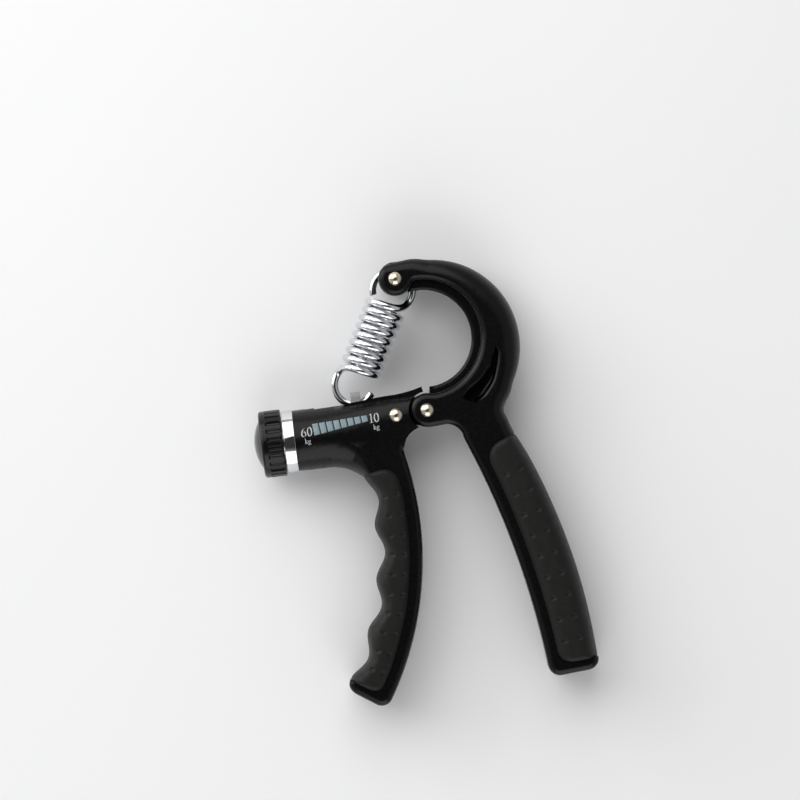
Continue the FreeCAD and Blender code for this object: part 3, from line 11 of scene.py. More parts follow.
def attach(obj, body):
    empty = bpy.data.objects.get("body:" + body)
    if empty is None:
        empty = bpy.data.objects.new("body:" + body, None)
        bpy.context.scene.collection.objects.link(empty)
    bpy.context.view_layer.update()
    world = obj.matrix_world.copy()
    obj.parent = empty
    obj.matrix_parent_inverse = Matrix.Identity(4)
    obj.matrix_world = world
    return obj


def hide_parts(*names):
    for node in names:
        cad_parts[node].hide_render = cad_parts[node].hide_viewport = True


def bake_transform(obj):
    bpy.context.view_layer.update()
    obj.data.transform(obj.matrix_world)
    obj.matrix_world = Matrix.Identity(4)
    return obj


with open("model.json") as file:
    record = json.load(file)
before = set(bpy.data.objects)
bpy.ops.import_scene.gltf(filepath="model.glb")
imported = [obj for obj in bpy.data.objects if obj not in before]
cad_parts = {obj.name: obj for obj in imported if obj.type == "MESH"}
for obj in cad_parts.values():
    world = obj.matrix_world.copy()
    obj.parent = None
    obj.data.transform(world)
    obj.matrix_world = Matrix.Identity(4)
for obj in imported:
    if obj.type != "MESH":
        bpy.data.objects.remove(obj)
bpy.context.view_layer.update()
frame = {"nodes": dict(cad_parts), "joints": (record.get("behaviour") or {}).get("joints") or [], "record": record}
NODES = frame["nodes"]
JOINTS = {joint["name"]: joint for joint in frame["joints"]}
BODY_OF = {node: body for body, nodes in frame["record"]["behaviour"]["bodies"].items() for node in nodes}
SLOTS = {piece["node"]: piece["material_slot"] for piece in frame["record"]["subparts"]}

# Lengths are in metres. A flat place is counted from the pivot, to the right and up the picture
MM = 0.001
PIVOT = np.array(JOINTS["grip_squeeze"]["pos_m"])
FACE_UP = np.array((0.0, 0.0, 1.0))
SIDES = (1, -1)
FULL_TURN = 2 * math.pi
QUARTER_TURN = math.pi / 2

# Photograph: looking straight down through a long lens
VIEW_WIDTH = 272 * MM
VIEW_CENTRE = PIVOT + np.array((-9.18, 3.4, 0)) * MM
PICTURE_PIXELS = 800
LENS = 300.0
SENSOR = 36.0
FAR_CLIP = 20.0

# Barrel, from its mouth
MOUTH = PIVOT + np.array((-44.7, -10.5, 0)) * MM
BARREL_TILT = math.radians(7.1)
BARREL_WAY = np.array((math.cos(BARREL_TILT), math.sin(BARREL_TILT), 0.0))
BARREL_UP = np.array((-math.sin(BARREL_TILT), math.cos(BARREL_TILT), 0.0))

# Half the thickness of the mouldings and of the rubber, and the pin that the spring hangs on
FRAME_HALF = 9.5 * MM
GRIP_HALF = 11.5 * MM
ANCHOR_PLACE = np.array((-10.9, 44.5)) * MM
ANCHOR = PIVOT + np.array((*ANCHOR_PLACE, 0))


# Shapes as arrays of points
def unit(vectors):
    return vectors / np.linalg.norm(vectors, axis=-1, keepdims=True)


def smoothstep(value):
    value = np.clip(value, 0, 1)
    return value * value * (3 - 2 * value)


def eased(first, last, count):
    """Places from first to last that crowd towards both, (1 - cos) / 2 of an even step."""
    return first + (last - first) * (1 - np.cos(np.linspace(0, math.pi, count))) / 2


def rounded_inset(distance, radius):
    """How far a corner of that radius stands back at a distance from its end."""
    left = radius - np.clip(distance, 0, radius)
    return radius - np.sqrt(radius * radius - left * left)


def hermite(start, start_way, end, end_way, reach, count):
    """A cubic from one point and direction to another, without its end."""
    share = np.linspace(0, 1, count, endpoint=False)[:, None]
    h_start = 2 * share ** 3 - 3 * share ** 2 + 1
    h_start_way = share ** 3 - 2 * share ** 2 + share
    h_end = 3 * share ** 2 - 2 * share ** 3
    h_end_way = share ** 3 - share ** 2
    return h_start * start + h_start_way * start_way * reach + h_end * end + h_end_way * end_way * reach


def through(points, count):
    """A smooth line through flat points: a centripetal cubic between each two, in a count of steps."""
    points = np.array(points)
    ends = np.concatenate((2 * points[:1] - points[1:2], points, 2 * points[-1:] - points[-2:-1]))
    rows = []
    for number in range(len(points) - 1):
        before, start, end, after = ends[number:number + 4]
        reach = np.linalg.norm(end - start)
        start_way = (end - before) / (np.linalg.norm(start - before) + reach) * reach
        end_way = (after - start) / (np.linalg.norm(after - end) + reach) * reach
        rows.append(hermite(start, start_way, end, end_way, 1.0, count))
    return np.concatenate(rows + [points[-1:]])


def ring_points(centre, radius, arc):
    """Points on a circle and the directions out of it, for an arc of two angles in degrees and a count."""
    turn = np.radians(np.linspace(*arc))
    way = np.stack((np.cos(turn), np.sin(turn)), -1)
    return centre + way * radius, way


def sides_of(line, side):
    """The direction across a line at each of its points, to its right for a side of 1."""
    way = unit(np.gradient(line, axis=0))
    return np.stack((way[:, 1], -way[:, 0]), -1) * side


def beside(line, outward, out, height):
    """Rows of points across a flat line: distances outwards from it, and heights over the rest plane."""
    flat = PIVOT[:2] + line[:, None] + outward[:, None] * out[..., None]
    return np.concatenate((flat, height[..., None]), -1)


def on_barrel(along, up, toward):
    """Places in the barrel's frame: along its axis from the mouth, up its side and towards the viewer."""
    along, up, toward = np.broadcast_arrays(along, up, toward)
    return MOUTH + along[..., None] * BARREL_WAY + up[..., None] * BARREL_UP + toward[..., None] * FACE_UP


def round_on_barrel(along, radius, turns):
    """Rows of points round the barrel's axis, each at its own length, radius and turn."""
    return on_barrel(along, radius * np.cos(turns), radius * np.sin(turns))


# Meshes and pieces. Shading runs on over an edge below an angle between its faces, in degrees
NO_FANS = np.zeros((0, 3), int)
HOUSING_ANGLE = 32.0
ARM_ANGLE = 30.0
SLIDER_ANGLE = 25.0
GRIP_ANGLE = 55.0
WIRE_ANGLE = 40.0
TURNED_ANGLE = 35.0
THREAD_ANGLE = 30.0
PRINT_ANGLE = 60.0


def grid_faces(rows, columns):
    """Quads between the rows of a grid whose columns run all the way round."""
    row = np.arange(rows - 1)[:, None] * columns
    column = np.arange(columns)[None, :]
    after = (column + 1) % columns
    corners = (row + column, row + after, row + columns + after, row + columns + column)
    return np.stack(corners, -1).reshape(-1, 4)


def sheet_faces(rows, columns):
    """Quads of an open grid."""
    corner = (np.arange(rows - 1)[:, None] * columns + np.arange(columns - 1)[None, :]).reshape(-1, 1)
    return corner + np.array((0, 1, columns + 1, columns))


def fan_faces(first, columns, middle):
    """Triangles from one ring of the grid to a point in its middle."""
    column = np.arange(columns)
    return np.stack((np.full(columns, middle), first + (column + 1) % columns, first + column), -1)


def signed_volume(points, triangles):
    one, two, three = (points[triangles[:, corner]] for corner in range(3))
    return np.einsum("ij,ij->", one, np.cross(two, three))


def outward_mesh(name, points, quads, fans):
    """A mesh of quads and triangles, all turned over where they would face inwards."""
    triangles = np.concatenate((quads[:, :3], quads[:, (0, 2, 3)], fans))
    if signed_volume(points, triangles) < 0:
        quads, fans = quads[:, ::-1], fans[:, ::-1]
    mesh = bpy.data.meshes.new(name)
    mesh.from_pydata(points.tolist(), [], quads.tolist() + fans.tolist())
    return mesh


def fanned_mesh(name, grid):
    """A closed mesh over a grid of points, rows by columns, with a fan at each end."""
    rows, columns = grid.shape[:2]
    points = np.concatenate((grid.reshape(-1, 3), grid[0].mean(0)[None], grid[-1].mean(0)[None]))
    low = fan_faces(0, columns, rows * columns)
    high = fan_faces((rows - 1) * columns, columns, rows * columns + 1)[:, ::-1]
    return outward_mesh(name, points, grid_faces(rows, columns), np.concatenate((low, high)))


def linked(name, data):
    """A new object in the scene."""
    thing = bpy.data.objects.new(name, data)
    bpy.context.scene.collection.objects.link(thing)
    return thing


def dress(mesh, material, smooth_angle):
    """One material, and soft shading below an angle between faces."""
    mesh.polygons.foreach_set("use_smooth", [True] * len(mesh.polygons))
    mesh.set_sharp_from_angle(angle=math.radians(smooth_angle))
    mesh.materials.clear()
    mesh.materials.append(material)


def finished(name, mesh, material, slot, body, smooth_angle):
    """The mesh as a piece that rides on a body, or on none where no body is given."""
    dress(mesh, material, smooth_angle)
    piece = linked(name, mesh)
    if body:
        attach(piece, body)
    return piece


def closed_form(name, grid, material, slot, body, smooth_angle):
    """A closed piece over a grid of points, rows by columns, with a fan at each end."""
    return finished(name, fanned_mesh(name, grid), material, slot, body, smooth_angle)


def ring_form(name, grid, material, slot, body, smooth_angle):
    """A closed piece over a grid whose last row joins its first, such as a turned ring."""
    rows, columns = grid.shape[:2]
    quads = grid_faces(rows + 1, columns) % (rows * columns)
    mesh = outward_mesh(name, grid.reshape(-1, 3), quads, NO_FANS)
    return finished(name, mesh, material, slot, body, smooth_angle)


# Materials. A Mix node's sockets for colours share their names with those for numbers, so they are counted
MIX_FACTOR = 0
MIX_FIRST = 6
MIX_SECOND = 7
MIX_RESULT = 2


class Socket:
    """One output in a material's tree; * on it adds a Math node."""

    def __init__(self, paint, output):
        self.paint = paint
        self.output = output

    def __mul__(self, other):
        return self.paint.node("ShaderNodeMath", {"operation": "MULTIPLY"}, {0: self, 1: other})

    def __rmul__(self, other):
        return self * other


class Paint:
    """A node tree with one method that adds any node."""

    def __init__(self, tree):
        self.tree = tree

    def feed(self, socket, value):
        if isinstance(value, Socket):
            self.tree.links.new(value.output, socket)
        else:
            socket.default_value = value

    def node(self, kind, settings=None, values=None, output=0):
        made = self.tree.nodes.new(kind)
        for name, value in (settings or {}).items():
            setattr(made, name, value)
        for name, value in (values or {}).items():
            self.feed(made.inputs[name], value)
        return Socket(self, made.outputs[output])

    def place(self, stretch=(1, 1, 1), turn=0.0):
        """The object's own coordinates, turned about Z and stretched."""
        here = self.node("ShaderNodeTexCoord", output="Object")
        return self.node(
            "ShaderNodeMapping", values={"Vector": here, "Rotation": (0, 0, turn), "Scale": stretch})

    def noise(self, size, detail=3.0, at=None):
        """Noise whose blotches are about the given size, from 0 to 1 about a half."""
        values = {"Vector": at or self.place(), "Scale": 1 / size, "Detail": detail}
        return self.node("ShaderNodeTexNoise", values=values)

    def spread(self, value, between, first=0.0, last=1.0):
        """A value between two limits, run out smoothly over first to last."""
        low, high = between
        values = {"Value": value, "From Min": low, "From Max": high, "To Min": first, "To Max": last}
        return self.node("ShaderNodeMapRange", {"interpolation_type": "SMOOTHSTEP"}, values)

    def blend(self, share, first, second):
        """A colour between two by a share."""
        values = {MIX_FACTOR: share, MIX_FIRST: first, MIX_SECOND: second}
        return self.node("ShaderNodeMix", {"data_type": "RGBA"}, values, output=MIX_RESULT)

    def bump(self, height, depth, under=None):
        values = {"Height": height, "Distance": depth}
        if under:
            values["Normal"] = under
        return self.node("ShaderNodeBump", values=values)


def finish(name, colour, roughness, normal=None, **constants):
    """A surface from a function of its paint for each thing that varies, and constants for the rest."""
    material = bpy.data.materials.new(name)
    material.use_nodes = True
    paint = Paint(material.node_tree)
    shader = material.node_tree.nodes["Principled BSDF"]
    paint.feed(shader.inputs["Base Color"], colour(paint))
    paint.feed(shader.inputs["Roughness"], roughness(paint))
    if normal:
        paint.feed(shader.inputs["Normal"], normal(paint))
    for socket, value in constants.items():
        shader.inputs[socket.replace("_", " ")].default_value = value
    return material


def rgb(red, green, blue):
    return (red, green, blue, 1.0)


# Limits within a noise: most of it, all but its lowest part, its soft upper patches, and only its peaks
MOST = (0.3, 0.7)
ALL_BUT_LOW = (0.35, 0.7)
PATCHES = (0.3, 0.75)
PEAKS = (0.70, 0.78)

TINT_SIZE = 0.9 * MM
GLOSS_SIZE = 1.4 * MM
GRAIN_SIZE = 0.22 * MM


def satin_plastic(name, dark, light, smooth, rough, grain_depth, gloss=0.22):
    """Moulded plastic: a tint and a roughness that wander a little, and a fine even grain."""
    def colour(paint):
        patches = paint.spread(paint.noise(TINT_SIZE, detail=6.0), ALL_BUT_LOW)
        return paint.blend(patches, dark, light)

    return finish(
        name, colour,
        lambda paint: paint.spread(paint.noise(GLOSS_SIZE, detail=6.0), MOST, smooth, rough),
        lambda paint: paint.bump(paint.noise(GRAIN_SIZE, detail=2.0), grain_depth),
        Specular_IOR_Level=gloss)


BLOOM_SIZE = 3 * MM
BLOOM_DARK = rgb(0.0045, 0.0045, 0.0038)
BLOOM_LIGHT = rgb(0.0068, 0.0068, 0.0058)
LINT_SIZE = 0.5 * MM
LINT_COLOUR = rgb(0.045, 0.045, 0.041)
LINT_SHARE = 0.5
RUBBER_GLOSS_SIZE = 2 * MM
RUBBER_ROUGHNESS = (0.5, 0.62)
RUBBER_GRAIN_SIZE = 0.16 * MM
RUBBER_GRAIN_DEPTH = 0.035 * MM


def soft_rubber():
    """Rubber: matt, a dusty bloom in soft patches, a fine grain and a few paler specks of lint."""
    def colour(paint):
        patches = paint.spread(paint.noise(BLOOM_SIZE, detail=6.0), PATCHES)
        specks = paint.spread(paint.noise(LINT_SIZE, detail=1.0), PEAKS)
        return paint.blend(specks * LINT_SHARE, paint.blend(patches, BLOOM_DARK, BLOOM_LIGHT), LINT_COLOUR)

    return finish(
        "grip_rubber_matt", colour,
        lambda paint: paint.spread(paint.noise(RUBBER_GLOSS_SIZE, detail=5.0), MOST, *RUBBER_ROUGHNESS),
        lambda paint: paint.bump(paint.noise(RUBBER_GRAIN_SIZE, detail=3.0), RUBBER_GRAIN_DEPTH),
        Sheen_Weight=0.03, Sheen_Roughness=0.5, Specular_IOR_Level=0.25)


TARNISH_SIZE = 4 * MM
TARNISH_SHARE = 0.93
PLATING_GLOSS_SIZE = 1.8 * MM
WAVE_SIZE = 3.5 * MM
WAVE_DEPTH = 0.03 * MM
POLISH_SIZE = 0.12 * MM
POLISH_STRETCH = (0.06, 1, 1)


def plated(name, colour, smooth, rough, brush_depth=0.0):
    """Metal: smooth plating with faint waves, and lines of polish along the barrel where it is brushed."""
    def roughness(paint):
        return paint.spread(paint.noise(PLATING_GLOSS_SIZE, detail=4.0), MOST, smooth, rough)

    def normal(paint):
        waves = paint.bump(paint.noise(WAVE_SIZE, detail=1.0), WAVE_DEPTH)
        along_barrel = paint.place(stretch=POLISH_STRETCH, turn=-BARREL_TILT)
        lines = paint.noise(POLISH_SIZE, detail=2.0, at=along_barrel)
        return paint.bump(lines, brush_depth, under=waves)

    worn = rgb(*(TARNISH_SHARE * part for part in colour[:3]))
    return finish(
        name, lambda paint: paint.blend(paint.spread(paint.noise(TARNISH_SIZE), MOST), colour, worn),
        roughness, normal, Metallic=1.0)


BLACK = satin_plastic(
    "black_plastic_satin", rgb(0.002, 0.002, 0.0021), rgb(0.003, 0.003, 0.0031), 0.25, 0.30, 0.003 * MM)
KNOB_BLACK = satin_plastic(
    "knob_plastic", rgb(0.003, 0.003, 0.0031), rgb(0.0042, 0.0042, 0.0043), 0.2, 0.26, 0.003 * MM,
    gloss=0.3)
GLOSS_BLACK = satin_plastic(
    "cap_plastic_gloss", rgb(0.004, 0.004, 0.0041), rgb(0.0055, 0.0055, 0.0057), 0.08, 0.12, 0.001 * MM,
    gloss=0.6)
RUBBER = soft_rubber()
CHROME = plated("chrome_bright", rgb(0.80, 0.81, 0.83), 0.05, 0.11)
WIRE = plated("spring_wire_plated", rgb(0.76, 0.77, 0.79), 0.08, 0.14)
NICKEL = plated("rivet_nickel", rgb(0.72, 0.64, 0.50), 0.14, 0.22)
ZINC = plated("slider_zinc", rgb(0.74, 0.74, 0.72), 0.34, 0.46, brush_depth=0.004 * MM)
STEEL = plated("turned_steel", rgb(0.6, 0.6, 0.61), 0.2, 0.34, brush_depth=0.004 * MM)
BRASS = plated("turned_brass", rgb(0.66, 0.5, 0.24), 0.2, 0.34, brush_depth=0.004 * MM)
NYLON = satin_plastic(
    "bearing_nylon", rgb(0.62, 0.61, 0.57), rgb(0.7, 0.69, 0.65), 0.35, 0.5, 0.006 * MM, gloss=0.4)
PRINT = satin_plastic(
    "scale_print", rgb(0.20, 0.27, 0.295), rgb(0.235, 0.305, 0.33), 0.45, 0.6, 0.004 * MM, gloss=0.3)
PRINT_LETTERS = satin_plastic(
    "scale_letters", rgb(0.5, 0.53, 0.53), rgb(0.58, 0.61, 0.61), 0.45, 0.6, 0.004 * MM, gloss=0.3)

FINISHES = {
    "front_handle_frame": BLACK,
    "rear_arm_frame": BLACK,
    "finger_grip": RUBBER,
    "palm_grip": RUBBER,
    "pivot_rivet": NICKEL,
    "spring_anchor_pin": NICKEL,
    "bearing_block_rivet": NICKEL,
    "extension_spring": WIRE,
    "slider_nut": ZINC,
    "trim_ring": CHROME,
    "knob": KNOB_BLACK,
    "knob_cap": GLOSS_BLACK,
    "lead_screw": STEEL,
    "barrel_bush": NYLON,
    "bearing_block": NYLON,
    "thrust_washer": STEEL,
    "knob_screw": STEEL,
    "pivot_bush": BRASS,
}


def paint_nodes():
    for name, material in FINISHES.items():
        mesh = NODES[name].data
        mesh.materials.clear()
        mesh.materials.append(material)


# Mouldings: a merged copy of the solid, its edges carved rounder where the moulding is fuller
WELD = MM / 1000
CUTTER_LIFT = 0.012 * MM
CUTTER_REACH = 0.8 * MM
FREE_AIR = 2.0 * MM
ARC_POINTS = 13


def smoothed_copy(node, angle, cutters=(), added=()):
    """The CAD node's triangles joined at their corners, forms cut off or added, and weighted normals."""
    mesh = NODES[node].data.copy()
    custom_normals = mesh.attributes.get("custom_normal")
    if custom_normals:
        mesh.attributes.remove(custom_normals)
    form = bmesh.new()
    form.from_mesh(mesh)
    bmesh.ops.remove_doubles(form, verts=form.verts, dist=WELD)
    form.to_mesh(mesh)
    form.free()
    piece = finished(node + "_smooth", mesh, FINISHES[node], SLOTS[node], BODY_OF[node], angle)
    if cutters or added:
        piece.data = carved(piece, cutters, added)
        dress(piece.data, FINISHES[node], angle)
    weighted = piece.modifiers.new("weighted_normals", "WEIGHTED_NORMAL")
    weighted.keep_sharp = True
    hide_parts(node)
    return piece


def carved(piece, cutters, added):
    """The piece's mesh without the cutters' space and with the added forms. Both leave the scene."""
    steps = [(form, "DIFFERENCE") for form in cutters] + [(form, "UNION") for form in added]
    for form, operation in steps:
        step = piece.modifiers.new(form.name, "BOOLEAN")
        step.operation = operation
        step.solver = "MANIFOLD"
        step.object = form
    graph = bpy.context.evaluated_depsgraph_get()
    mesh = bpy.data.meshes.new_from_object(piece.evaluated_get(graph))
    piece.modifiers.clear()
    for form, operation in steps:
        bpy.data.objects.remove(form)
    return mesh


def edge_cutters(name, line, outward, radius, face, margin=FREE_AIR):
    """Forms that round an edge on both faces: (-r + r sin t, face - r + r cos t) outwards and up.

    t runs from 0 to 90 degrees, and then the section goes round the corner in free air."""
    turn = np.linspace(0, QUARTER_TURN, ARC_POINTS)[None, :]
    margin = np.broadcast_to(margin, radius.shape)[:, None]
    radius = radius[:, None]
    inner = -radius - CUTTER_REACH
    low = np.full_like(radius, 2 * CUTTER_LIFT)
    top = np.full_like(radius, FREE_AIR)
    out = np.concatenate((inner, -radius + radius * np.sin(turn) + CUTTER_LIFT, margin, margin, inner), 1)
    up = np.concatenate((
        low, -radius + radius * np.cos(turn) + CUTTER_LIFT, -radius - CUTTER_LIFT, top, top), 1)
    cutters = []
    for side in SIDES:
        label = "%s_%d" % (name, side + 2)
        grid = beside(line, outward, out, PIVOT[2] + side * (face + up))
        cutters.append(linked(label, fanned_mesh(label, grid)))
    return cutters


# Handles: the bowed line that each handle's rubber follows
class Handle:
    """An arc between two ends from the pivot, and places beside it."""

    def __init__(self, top, bottom, radius, side):
        top, bottom = np.array(top) * MM, np.array(bottom) * MM
        chord = bottom - top
        half = np.linalg.norm(chord) / 2
        right = np.array((-chord[1], chord[0])) / (2 * half)
        self.radius = radius * MM
        self.side = side
        self.centre = top + chord / 2 - right * math.sqrt(self.radius ** 2 - half ** 2)
        self.start = math.atan2(top[1] - self.centre[1], top[0] - self.centre[0])

    def points(self, along, across, height):
        """Places at a length along the arc, a distance across the handle and a height over its middle."""
        angle = self.start - along / self.radius
        reach = self.radius + self.side * across
        right = self.centre[0] + reach * np.cos(angle)
        up = self.centre[1] + reach * np.sin(angle)
        return np.stack((right, up, height), -1) + PIVOT


FINGER = Handle((-7.8, -14.3), (-10.9, -95.9), 110.0, -1)
PALM = Handle((12.9, -10.2), (40.5, -84.0), 287.0, 1)
FINGER_TOP, FINGER_BOTTOM = 3.2 * MM, 86.2 * MM
PALM_TOP, PALM_BOTTOM = 5.6 * MM, 82.2 * MM

# Rubber's section: a fuller hand side and a squarer strip side, rounded off at both ends of the handle
HAND_POWER = 2.7
STRIP_POWER = 5.0
SECTION_POINTS = 150
FINE_STEPS = 40
END_RADIUS = 2.6 * MM
END_FACE_RADIUS = 1.82 * MM
HAND_CORNER = 1.0 * MM
END_ROWS = 12
GRIP_ROWS = 330

DIMPLE_RADIUS = 0.95 * MM
DIMPLE_DEPTH = 0.55 * MM
DIMPLE_PITCH = 7.29 * MM
DIMPLE_RIM_SHARE = 1.15
ON_FACE_SHARE = 0.7


def unit_section(columns):
    """A closed curve |x|^n + |z|^n = 1 with its own n on each side of x = 0, its points evenly apart."""
    turns = np.linspace(0, FULL_TURN, FINE_STEPS * columns, endpoint=False)
    power = np.where(np.cos(turns) > 0, HAND_POWER, STRIP_POWER)
    x = np.sign(np.cos(turns)) * np.abs(np.cos(turns)) ** (2 / power)
    z = np.sign(np.sin(turns)) * np.abs(np.sin(turns)) ** (2 / power)
    nominal = np.stack((x / 2, z), -1)
    steps = np.linalg.norm(np.roll(nominal, -1, 0) - nominal, axis=1)
    length = np.concatenate(((0,), np.cumsum(steps)))
    wanted = np.linspace(0, length[-1], columns, endpoint=False)
    return np.interp(wanted, length, np.append(x, x[0])), np.interp(wanted, length, np.append(z, z[0]))


def grip_form(name, node, handle, top, bottom, inner, outer, dimples):
    """Rubber along a handle: at each length a rounded section from its inner to its outer edge.

    The section shrinks by a corner's rounding at both ends, and round dimples sink into both faces."""
    along = np.concatenate((
        eased(top, top + 2 * END_RADIUS, 2 * END_ROWS + 1)[:END_ROWS],
        np.linspace(top + END_RADIUS, bottom - END_RADIUS, GRIP_ROWS),
        eased(bottom - 2 * END_RADIUS, bottom, 2 * END_ROWS + 1)[END_ROWS + 1:]))
    from_end = np.minimum(along - top, bottom - along)
    low = inner(along)
    high = outer(along) - rounded_inset(from_end, HAND_CORNER)
    half = GRIP_HALF - rounded_inset(from_end, END_FACE_RADIUS)
    x, z = unit_section(SECTION_POINTS)
    across = ((low + high) / 2)[:, None] + ((high - low) / 2)[:, None] * x
    height = half[:, None] * z
    depth = np.zeros_like(height)
    for place, side in dimples:
        distance = np.hypot(along[:, None] - place, across - side) / DIMPLE_RADIUS
        depth = np.maximum(depth, DIMPLE_DEPTH * smoothstep(DIMPLE_RIM_SHARE - distance))
    height = height - np.sign(height) * depth * (np.abs(z) > ON_FACE_SHARE)
    grid = handle.points(along[:, None], across, height)
    piece = closed_form(name, grid, RUBBER, "grip_rubber", BODY_OF[node], GRIP_ANGLE)
    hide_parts(node)


# Strip of bare plastic beside the rubber: its width, and the rubber's corner radii above and below
FINGER_STRIP, FINGER_CORNERS = 4.0 * MM, (5.8 * MM, 3.5 * MM)
PALM_STRIP, PALM_CORNERS = 3.5 * MM, (6.0 * MM, 5.0 * MM)
FINGER_WIDTH = 14.2 * MM
RIDGE_HEIGHT = 1.4 * MM
RIDGES = 4

# Palm rubber's outer edge in mm: lengths along the handle, and the edge's distance from the bowed line
PALM_WIDTHS = np.array((
    (5.6, 15.8), (6.8, 16.3), (9.9, 16.6), (15, 17.0), (22, 17.3), (29, 17.65), (37, 17.95), (47, 18.1),
    (57, 18.0), (65, 17.9), (71, 17.65), (77, 17.5), (82.2, 17.2)))
PALM_CURVE_POWER = 5

# Dimples: the first one's length along the handle, how many, and the two rows' distances across
FINGER_DIMPLES = (13.3 * MM, 10, (6.2 * MM, 10.3 * MM))
PALM_DIMPLES = (16.4 * MM, 9, (7.35 * MM, 12.5 * MM))


def corner_insets(along, top, bottom, corners):
    """How far the rubber's upper and lower corner stand back from the strip of bare plastic."""
    upper, lower = corners
    return rounded_inset(along - top, upper) + rounded_inset(bottom - along, lower)


def finger_inner(along):
    return FINGER_STRIP + corner_insets(along, FINGER_TOP, FINGER_BOTTOM, FINGER_CORNERS)


def finger_outer(along):
    """Ridges between the fingers: a cosine of four waves."""
    wave = np.cos(FULL_TURN * RIDGES * (along - FINGER_TOP) / (FINGER_BOTTOM - FINGER_TOP))
    return FINGER_WIDTH + RIDGE_HEIGHT * wave


def palm_inner(along):
    return PALM_STRIP + corner_insets(along, PALM_TOP, PALM_BOTTOM, PALM_CORNERS)


def palm_outer(along):
    """A curve of the fifth power through the widths, fuller in the middle of the palm."""
    curve = np.polynomial.Polynomial.fit(PALM_WIDTHS[:, 0], PALM_WIDTHS[:, 1], PALM_CURVE_POWER)
    return curve(along / MM) * MM


def rows_of_dimples(first, count, sides):
    return [(first + DIMPLE_PITCH * number, side) for number in range(count) for side in sides]


def make_grips():
    grip_form(
        "finger_grip_rubber", "finger_grip", FINGER, FINGER_TOP, FINGER_BOTTOM, finger_inner, finger_outer,
        rows_of_dimples(*FINGER_DIMPLES))
    grip_form(
        "palm_grip_rubber", "palm_grip", PALM, PALM_TOP, PALM_BOTTOM, palm_inner, palm_outer,
        rows_of_dimples(*PALM_DIMPLES))


# Saddle between the barrel's underside and the finger handle's cheek: its edge, and at each of the edge's
# points the section's half axes and the width of the shelf behind it
SADDLE_EDGE = np.array((
    (-38.1, -19.55), (-33.0, -19.4), (-28.9, -19.65), (-26.2, -20.33), (-23.8, -21.45), (-21.95, -22.5),
    (-20.1, -23.95))) * MM
SADDLE_REACH = (10.3, 10.3, 9.6, 7.6, 5.4, 3.6, 2.4)
SADDLE_HEIGHT = (10.2, 10.3, 10.25, 9.35, 9.45, 9.47, 9.47)
SADDLE_SHELF = (0.0, 0.0, 0.6, 1.6, 3.0, 3.0, 2.0)
SADDLE_STEPS = 14
SADDLE_POINTS = 41
SHELF_OVERLAP = 0.1 * MM
SHELF_SHARE = 0.99


def saddle_form():
    """Sections a (1 - cos t), b sin t inwards from the edge, t from -90 to 90 degrees, and a shelf."""
    edge = through(SADDLE_EDGE, SADDLE_STEPS)
    station = np.linspace(0, len(SADDLE_EDGE) - 1, len(edge))
    reach, tall, shelf = (
        np.interp(station, np.arange(len(SADDLE_EDGE)), values)[:, None] * MM
        for values in (SADDLE_REACH, SADDLE_HEIGHT, SADDLE_SHELF))
    turn = np.linspace(-QUARTER_TURN, QUARTER_TURN, SADDLE_POINTS)[None, :]
    back = reach + shelf + SHELF_OVERLAP
    across = np.concatenate((reach * (1 - np.cos(turn)), back, back), 1)
    height = np.concatenate((tall * np.sin(turn), tall * SHELF_SHARE, -tall * SHELF_SHARE), 1)
    grid = beside(edge, sides_of(edge, -1), across, PIVOT[2] + height)
    return linked("saddle", fanned_mesh("saddle", grid))


# Bow of the rear arm: the line of its outer edge from the waist to the boss, and the rounding's radii in
# mm. An arc is its first and last angle in degrees and its count of points
NECK = np.array((
    (30.2, -9.0), (28.8, -6.4), (27.53, -3.4), (26.5, -1.45), (25.97, 0.3), (26.29, 1.92), (27.18, 3.74),
    (28.28, 6.0), (29.44, 10.31))) * MM
NECK_STEPS = 8
NECK_RADII = (4.4, 5.0)
BOW_CENTRE = np.array((2.0, 21.4)) * MM
BOW_RADIUS = 29.6 * MM
BOW_ARC = (-22.0, 92.0, 90)
BOW_SHARES = (0, 0.2, 0.65, 1)
BOW_RADII = (5.0, 7.6, 7.6, 5.0)
BROW = np.array(((0.97, 50.98), (-2.4, 51.3), (-5.81, 51.21), (-9.19, 50.5), (-13.92, 49.33))) * MM
BROW_STEPS = 10
BROW_RADII = (5.0, 3.2)
BOSS_RADIUS = 5.7 * MM
BOSS_ARC = (122.0, 205.0, 24)
BOSS_RADII = (3.2, 0.3)


def bow_cutters():
    """Up the neck, round the bow, over the brow and the boss, the rounding's radius growing and falling."""
    neck = through(NECK, NECK_STEPS)[:-1]
    bow, bow_way = ring_points(BOW_CENTRE, BOW_RADIUS, BOW_ARC)
    brow = through(BROW, BROW_STEPS)[1:-1]
    boss, boss_way = ring_points(ANCHOR_PLACE, BOSS_RADIUS, BOSS_ARC)
    line = np.concatenate((neck, bow, brow, boss))
    outward = np.concatenate((sides_of(neck, 1), bow_way, sides_of(brow, 1), boss_way))
    radius = np.concatenate((
        np.linspace(*NECK_RADII, len(neck)),
        np.interp(np.linspace(0, 1, len(bow)), BOW_SHARES, BOW_RADII),
        np.linspace(*BROW_RADII, len(brow)),
        np.linspace(*BOSS_RADII, len(boss)))) * MM
    return edge_cutters("bow_edge", line, outward, radius, FRAME_HALF)


FLANGE_HALF = 4.5 * MM
FLANGE_CENTRE = np.array((-1.4, 24.3)) * MM
FLANGE_RADIUS = 16.5 * MM
FLANGE_ARC = (-78.0, 104.0, 100)
FLANGE_ROUNDING = 1.1 * MM


def flange_cutters():
    """Rounds the flange's inner edge on both faces."""
    line, way = ring_points(FLANGE_CENTRE, FLANGE_RADIUS, FLANGE_ARC)
    return edge_cutters("flange_edge", line, -way, np.full(len(line), FLANGE_ROUNDING), FLANGE_HALF)


